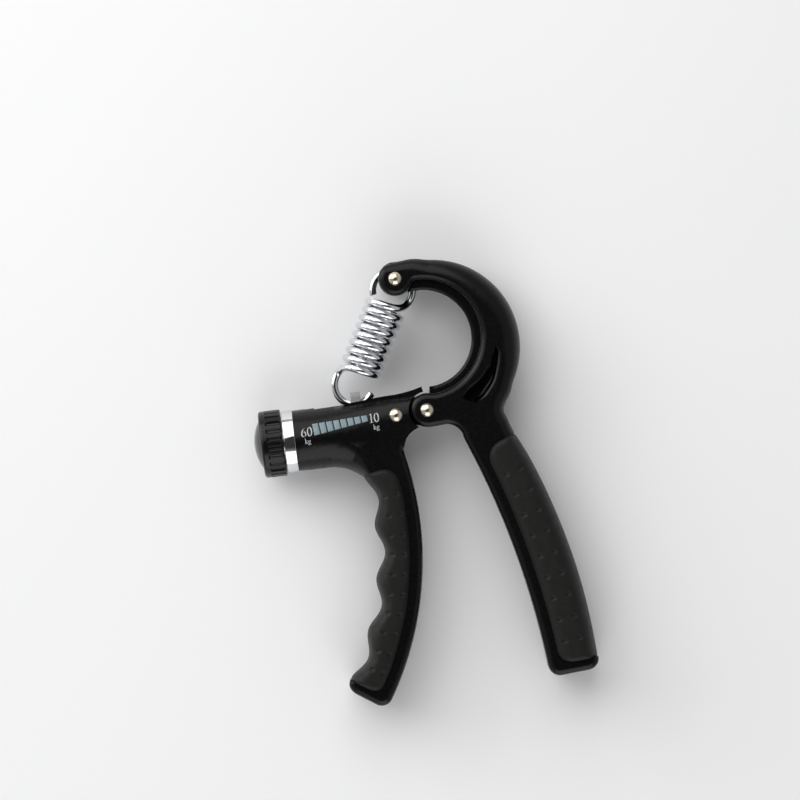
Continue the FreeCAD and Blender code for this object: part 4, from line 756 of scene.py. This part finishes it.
# Leaf-shaped pockets: the right and left rims and the rib between them, in shares of the bow's reach
LEAF_REACH = 31.6 * MM
LEAF_RIGHT_SHARES = np.array((
    (0.734, 0.698), (0.753, 0.623), (0.749, 0.525), (0.709, 0.333), (0.632, 0.197), (0.539, 0.084)))
LEAF_LEFT_SHARES = np.array((
    (0.375, 0.126), (0.468, 0.229), (0.562, 0.309), (0.632, 0.398), (0.688, 0.515)))
LEAF_RIB_SHARES = np.array(((0.725, 0.47), (0.69, 0.34), (0.625, 0.225), (0.555, 0.14), (0.50, 0.095)))
LEAF_STEPS = 12
RIM_ROUNDING = 1.2 * MM
RIM_LEAST = 0.05 * MM
RIM_FADES = 6
OPENING_SLOPE = 0.5


def leaf_cutters():
    """Rounds the pocket's rim: the free side is inside the leaf, and narrow where each line begins."""
    cutters = []
    for name, shares in (("leaf_right", LEAF_RIGHT_SHARES), ("leaf_left", LEAF_LEFT_SHARES)):
        line = through(shares * LEAF_REACH, LEAF_STEPS)
        share = np.linspace(0, 1, len(line))
        fade = smoothstep(RIM_FADES * share) * smoothstep(RIM_FADES * (1 - share))
        distance = np.linalg.norm(line - line[0], axis=-1)
        margin = np.clip(OPENING_SLOPE * distance, RIM_LEAST, FREE_AIR)
        cutters += edge_cutters(
            name, line, sides_of(line, 1), RIM_ROUNDING * fade + RIM_LEAST, FRAME_HALF, margin)
    return cutters


RIB_STEPS = 16
RIB_POINTS = 9
RIB_HALF = 0.45 * MM
RIB_LEAST_HEIGHT = 1.8 * MM
RIB_RISE = 5.0 * MM
RIB_FOOT = 1.6 * MM
RIB_END_SHARE = 0.04
RIB_WIDTH_POWER = 0.4
RIB_HEIGHT_POWER = 0.7


def make_leaf_ribs():
    """A thin wall along the pocket's floor, round on top.

    At a share s of its length it is w sin(pi s)^0.4 to each side and h + r sin(pi s)^0.7 tall."""
    line = through(LEAF_RIB_SHARES * LEAF_REACH, RIB_STEPS)
    share = np.clip(np.linspace(0, 1, len(line)), RIB_END_SHARE, 1 - RIB_END_SHARE)
    arch = np.sin(math.pi * share)[:, None]
    half = RIB_HALF * arch ** RIB_WIDTH_POWER
    tall = RIB_LEAST_HEIGHT + RIB_RISE * arch ** RIB_HEIGHT_POWER
    foot = np.zeros_like(half)
    turn = np.linspace(0, math.pi, RIB_POINTS)[None, :]
    out = np.concatenate((half * np.cos(turn), -half, half), 1)
    up = np.concatenate((tall + half * np.sin(turn), foot, foot), 1)
    for side in SIDES:
        grid = beside(line, sides_of(line, 1), out, PIVOT[2] + side * (RIB_FOOT + up))
        closed_form("leaf_rib_%d" % (side + 2), grid, BLACK, "black_plastic", "arm", TURNED_ANGLE)


# Spring: one wire from the hook's cut end through eight coils to the loop's cut end
SPRING_LEAN = math.radians(22.2)
SPRING_UP = np.array((math.sin(SPRING_LEAN), math.cos(SPRING_LEAN), 0.0))
SPRING_RIGHT = np.array((math.cos(SPRING_LEAN), -math.sin(SPRING_LEAN), 0.0))
SEAT_ANGLE = math.radians(77.7)
SEAT_RADIUS = 3.89 * MM
LOOP_CENTRE = ANCHOR - SEAT_RADIUS * np.array((math.cos(SEAT_ANGLE), math.sin(SEAT_ANGLE), 0.0))
WIRE_RADIUS = 1.25 * MM
WIRE_COLUMNS = 28
CHAMFER_SHARE = 0.25
COIL_RADIUS = 6.0 * MM
COIL_PITCH = 2.96 * MM
COIL_TOP = -5.8 * MM
COILS = 8
COIL_STEPS = 72
LOOP_RADIUS = 6.8 * MM
LOOP_ARC = (0, 214, 70)
HOOK_RADIUS = 6.6 * MM
HOOK_DOWN = 34.7 * MM
HOOK_ARC = (-5, -180, 60)
LEAD_REACH = 13.5 * MM
LEAD_STEPS = 30


def in_spring(right, up, toward):
    """Places in the spring's frame, from the middle of its loop."""
    right, up, toward = np.broadcast_arrays(right, up, toward)
    flat = LOOP_CENTRE + right[..., None] * SPRING_RIGHT + up[..., None] * SPRING_UP
    return flat + toward[..., None] * FACE_UP


def spring_line():
    """The wire's middle line and, for each point, the share of the coil axis in its reference direction."""
    hook = np.radians(np.linspace(*HOOK_ARC, endpoint=False))
    hook_points = in_spring(HOOK_RADIUS * np.cos(hook), HOOK_RADIUS * np.sin(hook) - HOOK_DOWN, 0.0)
    turn = np.linspace(0, FULL_TURN * COILS, COILS * COIL_STEPS + 1)
    climb = COIL_TOP - COILS * COIL_PITCH + COIL_PITCH * turn / FULL_TURN
    coil = in_spring(COIL_RADIUS * np.sin(turn), climb, COIL_RADIUS * np.cos(turn))
    coil_way = unit(SPRING_RIGHT + SPRING_UP * COIL_PITCH / (FULL_TURN * COIL_RADIUS))
    hook_top, loop_start = in_spring(-HOOK_RADIUS, -HOOK_DOWN, 0.0), in_spring(LOOP_RADIUS, 0.0, 0.0)
    lead_in = hermite(hook_top, SPRING_UP, coil[0], coil_way, LEAD_REACH, LEAD_STEPS)
    lead_out = hermite(coil[-1], coil_way, loop_start, SPRING_UP, LEAD_REACH, LEAD_STEPS)
    loop = np.radians(np.linspace(*LOOP_ARC))
    loop_points = in_spring(LOOP_RADIUS * np.cos(loop), LOOP_RADIUS * np.sin(loop), 0.0)
    rise = smoothstep(np.linspace(0, 1, LEAD_STEPS))
    coil_share = np.concatenate((
        np.zeros(len(hook)), rise, np.ones(len(coil) - 1), rise[::-1], np.zeros(len(loop))))
    return np.concatenate((hook_points, lead_in, coil[:-1], lead_out, loop_points)), coil_share


def tube(points, reference, radius, columns):
    """A round tube along points: c(s) + r(s) (cos t * n + sin t * b), with a chamfer at each cut end."""
    way = unit(np.gradient(points, axis=0))
    across = unit(reference - (reference * way).sum(1, keepdims=True) * way)
    other = np.cross(way, across)
    chamfer = radius * CHAMFER_SHARE
    radii = np.full(len(points), radius)
    points = np.concatenate((points[:1] - way[:1] * chamfer, points, points[-1:] + way[-1:] * chamfer))
    across = np.concatenate((across[:1], across, across[-1:]))
    other = np.concatenate((other[:1], other, other[-1:]))
    radii = np.concatenate(((radius - chamfer,), radii, (radius - chamfer,)))
    turn = np.linspace(0, FULL_TURN, columns, endpoint=False)
    ring = np.cos(turn)[None, :, None] * across[:, None] + np.sin(turn)[None, :, None] * other[:, None]
    return points[:, None] + radii[:, None, None] * ring


def make_spring():
    points, coil_share = spring_line()
    reference = coil_share[:, None] * SPRING_UP + (1 - coil_share[:, None]) * FACE_UP
    grid = tube(points, reference, WIRE_RADIUS, WIRE_COLUMNS)
    spring = closed_form("spring_wire", grid, WIRE, "chrome", None, WIRE_ANGLE)
    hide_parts("extension_spring")
    top = in_spring(0.0, COIL_TOP, 0.0)
    bottom = in_spring(0.0, COIL_TOP - COILS * COIL_PITCH, 0.0)
    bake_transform(spring)


# Knob: ribs round its rim, a smooth lip and a recess for the cap
KNOB_FACE = -4.05 * MM
KNOB_END = KNOB_FACE - 7.6 * MM
KNOB_RADIUS = 11.3 * MM
KNOB_WALL = 3.0 * MM
KNOB_FLOOR = 4.0 * MM
KNOB_LIP = 1.0 * MM
KNOB_EDGE = 0.4 * MM
KNOB_ROWS = 38
KNOB_RIBS = 24
RIB_COLUMNS = 16
AXIS_HOLE = 0.01 * MM
GROOVE_DEPTH = 0.7 * MM
GROOVE_WIDTH = 1.3 * MM
GROOVE_WALL = 0.4 * MM
GROOVE_LENGTH = 5.2 * MM
GROOVE_END = 0.55 * MM
OUTER_RUNOUT = 0.5 * MM
INNER_RUNOUT = 0.3 * MM
BEND = np.linspace(0, QUARTER_TURN, 9)


def make_knob():
    """Round the axis with radius R - depth * groove(turn), the grooves running out before both rims."""
    edge_bend = BEND[::2]
    along = np.concatenate((
        (KNOB_FACE, KNOB_FACE), KNOB_FACE - KNOB_EDGE * (1 - np.cos(edge_bend)),
        np.linspace(KNOB_FACE - KNOB_EDGE, KNOB_END + KNOB_LIP, KNOB_ROWS + 2)[1:-1],
        KNOB_END + KNOB_LIP * (1 - np.sin(BEND)),
        (KNOB_END, KNOB_FACE - KNOB_FLOOR, KNOB_FACE - KNOB_FLOOR)))
    radius = np.concatenate((
        (AXIS_HOLE, KNOB_RADIUS / 2), KNOB_RADIUS - KNOB_EDGE * (1 - np.sin(edge_bend)),
        np.full(KNOB_ROWS, KNOB_RADIUS),
        KNOB_RADIUS - KNOB_LIP * (1 - np.cos(BEND)),
        (KNOB_RADIUS - KNOB_WALL, KNOB_RADIUS - KNOB_WALL, AXIS_HOLE)))
    turns = np.linspace(0, FULL_TURN, KNOB_RIBS * RIB_COLUMNS, endpoint=False)
    phase = (turns * KNOB_RIBS / FULL_TURN) % 1 - 0.5
    arc = np.abs(phase) * FULL_TURN * KNOB_RADIUS / KNOB_RIBS
    groove = smoothstep((GROOVE_WIDTH / 2 - arc) / GROOVE_WALL + 0.5)
    reach = smoothstep((along - (KNOB_FACE - GROOVE_LENGTH)) / OUTER_RUNOUT + 0.5)
    reach = reach * smoothstep((KNOB_FACE - GROOVE_END - along) / INNER_RUNOUT + 0.5)
    outside = smoothstep((radius - (KNOB_RADIUS - 2 * KNOB_EDGE)) / KNOB_EDGE)
    sunk = GROOVE_DEPTH * (reach * outside)[:, None] * groove
    grid = round_on_barrel(along[:, None], radius[:, None] - sunk, turns[None, :])
    piece = closed_form("knob_ribbed", grid, KNOB_BLACK, "black_plastic", "adjuster", TURNED_ANGLE)
    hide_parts("knob")


# Chrome ring, glossy cap and the domed rivets. A dome starts at a small share of its way out from the axis
AROUND = np.linspace(0, FULL_TURN, 96, endpoint=False)
RING_LENGTH = 3.7 * MM
RING_RADIUS = 10.7 * MM
RING_BORE = 8.2 * MM
RING_EDGE = 0.14 * MM
CAP_RADIUS = 8.28 * MM
CAP_HEIGHT = 2.38 * MM
CAP_RIM = 1.6 * MM
CAP_SHARES = np.linspace(0.01, 1, 24)
HEAD_RADIUS = 2.3 * MM
HEAD_HEIGHT = 1.3 * MM
HEAD_UNDERCUT = 0.05 * MM
HEAD_SHARES = np.linspace(0.02, 1, 16)
PIVOT_SHANK = 1.5 * MM
ANCHOR_SHANK = 1.6 * MM
BLOCK_SHANK = 1.3 * MM
BLOCK_PLACE = np.array((35.0, 4.5, 0.0)) * MM


def turned_on_barrel(name, node, along, radius, form):
    grid = round_on_barrel(along[:, None], radius[:, None], AROUND[None, :])
    piece = form(name, grid, FINISHES[node], SLOTS[node], BODY_OF[node], TURNED_ANGLE)
    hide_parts(node)


def make_trim_ring():
    """Two flat ends, a bore and an outer face with quarter-round edges."""
    near = RING_EDGE * (1 - np.cos(BEND))
    outer = RING_RADIUS - RING_EDGE * (1 - np.sin(BEND))
    along = np.concatenate(((-RING_LENGTH,), near - RING_LENGTH, -near[::-1], (0.0,)))
    radius = np.concatenate(((RING_BORE,), outer, outer[::-1], (RING_BORE,)))
    turned_on_barrel("trim_ring_bright", "trim_ring", along, radius, ring_form)


def dome(rim_radius, height, shares):
    """Distances down from a spherical dome's top, and radii, at shares of the angle out to its rim."""
    sphere = (rim_radius ** 2 + height ** 2) / (2 * height)
    turn = shares * math.asin(rim_radius / sphere)
    return sphere * (1 - np.cos(turn)), sphere * np.sin(turn)


def make_cap():
    """A spherical dome on a short cylinder."""
    down, radius = dome(CAP_RADIUS, CAP_HEIGHT, CAP_SHARES)
    along = np.append(KNOB_END - CAP_HEIGHT + down, KNOB_END + CAP_RIM)
    turned_on_barrel("knob_cap_domed", "knob_cap", along, np.append(radius, CAP_RADIUS), closed_form)


def make_rivet(node, place, shank_radius):
    """A shank with a spherical dome at each end, its face on the moulding."""
    down, radius = dome(HEAD_RADIUS, HEAD_HEIGHT, HEAD_SHARES)
    height = np.concatenate((FRAME_HALF + HEAD_HEIGHT - down, (FRAME_HALF, FRAME_HALF)))
    radius = np.concatenate((radius, (HEAD_RADIUS - HEAD_UNDERCUT, shank_radius)))
    height = np.concatenate((height, -height[::-1]))[:, None]
    radius = np.concatenate((radius, radius[::-1]))[:, None]
    grid = np.stack((
        place[0] + radius * np.cos(AROUND), place[1] + radius * np.sin(AROUND),
        PIVOT[2] + height + 0 * AROUND), -1)
    piece = closed_form(node + "_domed", grid, NICKEL, SLOTS[node], BODY_OF[node], TURNED_ANGLE)
    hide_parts(node)


def make_turned_pieces():
    make_trim_ring()
    make_cap()
    make_rivet("pivot_rivet", PIVOT, PIVOT_SHANK)
    make_rivet("spring_anchor_pin", ANCHOR, ANCHOR_SHANK)
    make_rivet("bearing_block_rivet", on_barrel(*BLOCK_PLACE), BLOCK_SHANK)


# Lead screw: squared end, thread and journal
THREAD_RADIUS = 3.0 * MM
THREAD_PITCH = 1.25 * MM
THREAD_DEPTH = 0.6 * MM
THREAD_SLOPE = 2.6
THREAD_ROOT_SHARE = 0.15
THREAD_END = 30.55 * MM
THREAD_ROWS = 330
JOURNAL_RADIUS = 2.4 * MM
JOURNAL_END = 34.0 * MM
SQUARE_HALF = 2.1 * MM
SCREW_COLUMNS = 48
SHOULDER = 0.01 * MM


def make_lead_screw():
    """Radius R - depth * ridge(s / pitch - t / 2 pi), and h / max(|cos t|, |sin t|) on the square end."""
    turns = np.linspace(0, FULL_TURN, SCREW_COLUMNS, endpoint=False)
    ends = (2, SCREW_COLUMNS)
    square_along = np.array((KNOB_FACE - KNOB_FLOOR, KNOB_FACE - SHOULDER))
    thread_along = np.linspace(KNOB_FACE, THREAD_END, THREAD_ROWS)
    journal_along = np.array((THREAD_END + SHOULDER, JOURNAL_END))
    square = np.broadcast_to(SQUARE_HALF / np.maximum(np.abs(np.cos(turns)), np.abs(np.sin(turns))), ends)
    wave = (thread_along[:, None] / THREAD_PITCH - turns[None, :] / FULL_TURN) % 1
    ridge = np.clip(THREAD_SLOPE * np.abs(wave - 0.5) - THREAD_ROOT_SHARE, 0, 1)
    along = np.concatenate((square_along, thread_along, journal_along))
    radius = np.concatenate((square, THREAD_RADIUS - THREAD_DEPTH * ridge, np.full(ends, JOURNAL_RADIUS)))
    grid = round_on_barrel(along[:, None], radius, turns[None, :])
    piece = closed_form("lead_screw_threaded", grid, STEEL, "steel", "adjuster", THREAD_ANGLE)
    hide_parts("lead_screw")


# Scale printed on the barrel: eight bars that grow towards the knob, and its two numbers. The places are
# in the photograph's pixels: the bars' upper and lower corner at each end of the row, and the words' lower
# left corners
PRINT_LIFT = 0.02 * MM
PRINT_THICKNESS = 0.06 * MM
ABOVE_ALL = 20 * MM
BARS = 8
BAR_SHARE = 0.83
BAR_ROWS = 14
BAR_COLUMNS = 5
BARS_START = ((312.4, 424.0), (315.0, 435.4))
BARS_FINISH = ((368.0, 415.0), (369.3, 420.6))
NUMBER_HEIGHT = 3.1 * MM
UNIT_HEIGHT = 1.75 * MM
WORDS = (
    ("scale_sixty", "60", NUMBER_HEIGHT, (301.9, 437.2)),
    ("scale_sixty_unit", "kg", UNIT_HEIGHT, (305.7, 443.9)),
    ("scale_ten", "10", NUMBER_HEIGHT, (369.4, 422.9)),
    ("scale_ten_unit", "kg", UNIT_HEIGHT, (373.8, 429.6)),
)


def from_picture(x, y):
    """A place in the plane of the handles, from the frame's origin, for the photograph's pixels."""
    pixel, middle = VIEW_WIDTH / PICTURE_PIXELS, PICTURE_PIXELS / 2
    return VIEW_CENTRE[0] + (x - middle) * pixel, VIEW_CENTRE[1] + (middle - y) * pixel


def heights_on(skin, x, y):
    """The upper surface's height under each place."""
    high = PIVOT[2] + ABOVE_ALL
    hits = [skin.ray_cast(Vector((one, two, high)), Vector((0, 0, -1))) for one, two in zip(x.flat, y.flat)]
    return np.array([hit[0].z for hit in hits]).reshape(x.shape) + PRINT_LIFT


def laid_print(name, x, y, faces, skin, material):
    """A thin skin of paint over the surface below it, with its own thickness."""
    mesh = bpy.data.meshes.new(name)
    points = np.stack((x, y, heights_on(skin, x, y)), -1).reshape(-1, 3)
    mesh.from_pydata(points.tolist(), [], faces.tolist())
    piece = finished(name, mesh, material, "black_plastic", "housing", PRINT_ANGLE)
    solid = piece.modifiers.new("thickness", "SOLIDIFY")
    solid.thickness = PRINT_THICKNESS
    solid.offset = -1


def make_bars(skin):
    """Each bar between two sloping lines, an upper and a lower, from the knob's end to the hinge's."""
    first, last = (
        np.array([from_picture(*corner) for corner in corners]) for corners in (BARS_START, BARS_FINISH))
    height_share = np.linspace(0, 1, BAR_ROWS)[:, None]
    for number in range(BARS):
        share = np.linspace(number / BARS, (number + BAR_SHARE) / BARS, BAR_COLUMNS)[None, :, None]
        upper, lower = (first[row] + (last[row] - first[row]) * share for row in (0, 1))
        places = lower + (upper - lower) * height_share[..., None]
        faces = sheet_faces(BAR_ROWS, BAR_COLUMNS)
        laid_print("scale_bar_%d" % (number + 1), places[..., 0], places[..., 1], faces, skin, PRINT)


OVAL_POINTS = 33


def oval_path(centre_x, centre_y, half_width, half_height):
    turn = np.linspace(0, FULL_TURN, OVAL_POINTS)
    return np.stack((centre_x + half_width * np.sin(turn), centre_y + half_height * np.cos(turn)), -1)


# Paths of each figure and letter in shares of a capital's height, and how far each moves the next one on
GLYPH_SHARES = {
    "0": (0.6, [oval_path(0.27, 0.5, 0.2, 0.48)]),
    "1": (0.5, [((0.25, 0.0), (0.25, 0.5), (0.25, 1.0)), ((0.1, 0.84), (0.18, 0.9), (0.25, 0.99)),
                ((0.1, 0.01), (0.25, 0.01), (0.4, 0.01))]),
    "6": (0.6, [((0.45, 0.95), (0.26, 0.84), (0.11, 0.58), (0.07, 0.32), (0.13, 0.1), (0.27, 0.02),
                 (0.42, 0.1), (0.47, 0.3), (0.41, 0.5), (0.28, 0.58), (0.14, 0.5), (0.08, 0.38))]),
    "k": (0.56, [((0.14, 0.0), (0.14, 0.5), (0.14, 1.0)), ((0.02, 0.98), (0.08, 0.98), (0.14, 0.98)),
                 ((0.03, 0.01), (0.14, 0.01), (0.26, 0.01)), ((0.14, 0.26), (0.28, 0.42), (0.42, 0.6)),
                 ((0.32, 0.61), (0.4, 0.61), (0.5, 0.61)), ((0.24, 0.38), (0.35, 0.2), (0.48, 0.0)),
                 ((0.38, 0.01), (0.46, 0.01), (0.55, 0.01))]),
    "g": (0.56, [oval_path(0.24, 0.42, 0.15, 0.19), oval_path(0.25, -0.14, 0.2, 0.14),
                 ((0.16, 0.24), (0.1, 0.14), (0.16, 0.06), (0.36, 0.02)),
                 ((0.35, 0.56), (0.42, 0.62), (0.5, 0.6))]),
}
GLYPH_STEPS = 5
NIB_SHARES = np.array((0.056, 0.02))
LETTER_STRETCH = 1.1


def make_words(name, text, height, corner, skin):
    """Figures drawn with a broad nib: each path moved to both sides by the nib, in short faces."""
    points, faces, start = [], [], 0.0
    for letter in text:
        advance, paths = GLYPH_SHARES[letter]
        for path in paths:
            line = through(path, GLYPH_STEPS) + (start, 0)
            faces.append(len(points) + sheet_faces(3, len(line)))
            points += [*(line + NIB_SHARES), *line, *(line - NIB_SHARES)]
        start += advance
    flat = np.array(points) * height * (LETTER_STRETCH, 1)
    place = np.array(from_picture(*corner)) + flat[:, :1] * BARREL_WAY[:2] + flat[:, 1:] * BARREL_UP[:2]
    laid_print(name, place[:, 0], place[:, 1], np.concatenate(faces), skin, PRINT_LETTERS)


def make_scale(housing):
    skin = BVHTree.FromObject(housing, bpy.context.evaluated_depsgraph_get())
    make_bars(skin)
    for name, text, height, corner in WORDS:
        make_words(name, text, height, corner, skin)


# Studio: a pale floor, three soft panels and a grey sky
FLOOR_HALF = 3.0
FLOOR_COLOUR = rgb(0.92, 0.92, 0.92)
FLOOR_ROUGHNESS = 0.9
SKY_SIDES = rgb(0.44, 0.44, 0.45)
SKY_OVERHEAD = rgb(0.04, 0.04, 0.04)
SKY_DARKENS = (0.72, 0.95)
BACKDROP = rgb(0.87, 0.87, 0.87)

# Each panel's direction round from the right and down from overhead in degrees, its distance, width, height
# and brightness
PANELS = (
    ("upper_panel", 118.0, 47.0, 1.2, 1.7, 1.4, 1.6),
    ("lower_panel", -85.0, 62.0, 1.3, 1.3, 1.3, 1.45),
    ("side_panel", 152.0, 74.0, 1.3, 1.1, 0.65, 3.2),
)


def studio_floor():
    corners = [(-FLOOR_HALF, -FLOOR_HALF, 0), (FLOOR_HALF, -FLOOR_HALF, 0), (FLOOR_HALF, FLOOR_HALF, 0),
               (-FLOOR_HALF, FLOOR_HALF, 0)]
    mesh = bpy.data.meshes.new("floor")
    mesh.from_pydata(corners, [], [(0, 1, 2, 3)])
    floor = linked("floor", mesh)
    mesh.materials.append(finish(
        "floor_pale", lambda paint: FLOOR_COLOUR, lambda paint: FLOOR_ROUGHNESS, Specular_IOR_Level=0.0))


def softbox(name, azimuth, zenith, distance, width, height, brightness):
    """A panel of even brightness that faces the object, placed by its direction and distance."""
    turn, lean = math.radians(azimuth), math.radians(zenith)
    way = Vector((math.cos(turn) * math.sin(lean), math.sin(turn) * math.sin(lean), math.cos(lean)))
    lamp = bpy.data.lights.new(name, "AREA")
    lamp.shape = "RECTANGLE"
    lamp.size = width
    lamp.size_y = height
    lamp.energy = brightness * math.pi * width * height
    light = linked(name, lamp)
    light.location = way * distance
    light.rotation_euler = way.to_track_quat("Z", "Y").to_euler()


def studio_sky():
    """Grey to the sides and darker overhead, where the camera hangs, and pale behind the floor's edge."""
    world = bpy.data.worlds.new("studio_sky")
    bpy.context.scene.world = world
    world.use_nodes = True
    paint = Paint(world.node_tree)
    way = paint.node("ShaderNodeTexCoord", output="Generated")
    height = paint.node("ShaderNodeSeparateXYZ", values={0: way}, output="Z")
    sky = paint.blend(paint.spread(height, SKY_DARKENS), SKY_SIDES, SKY_OVERHEAD)
    seen = paint.node("ShaderNodeLightPath", output="Is Camera Ray")
    background = world.node_tree.nodes["Background"]
    paint.feed(background.inputs["Color"], paint.blend(seen, sky, BACKDROP))


def set_camera():
    camera = bpy.data.cameras.new("camera")
    camera.lens = LENS
    camera.sensor_width = SENSOR
    camera.clip_end = FAR_CLIP
    view = linked("camera", camera)
    view.location = VIEW_CENTRE + FACE_UP * VIEW_WIDTH * LENS / SENSOR
    bpy.context.scene.camera = view
    bpy.context.scene.view_settings.view_transform = "Standard"


paint_nodes()
housing = smoothed_copy("front_handle_frame", HOUSING_ANGLE, added=[saddle_form()])
smoothed_copy("rear_arm_frame", ARM_ANGLE, bow_cutters() + flange_cutters() + leaf_cutters())
make_leaf_ribs()
make_grips()
make_spring()
make_knob()
make_turned_pieces()
smoothed_copy("slider_nut", SLIDER_ANGLE)
make_lead_screw()
make_scale(housing)
studio_floor()
studio_sky()
for panel in PANELS:
    softbox(*panel)
set_camera()
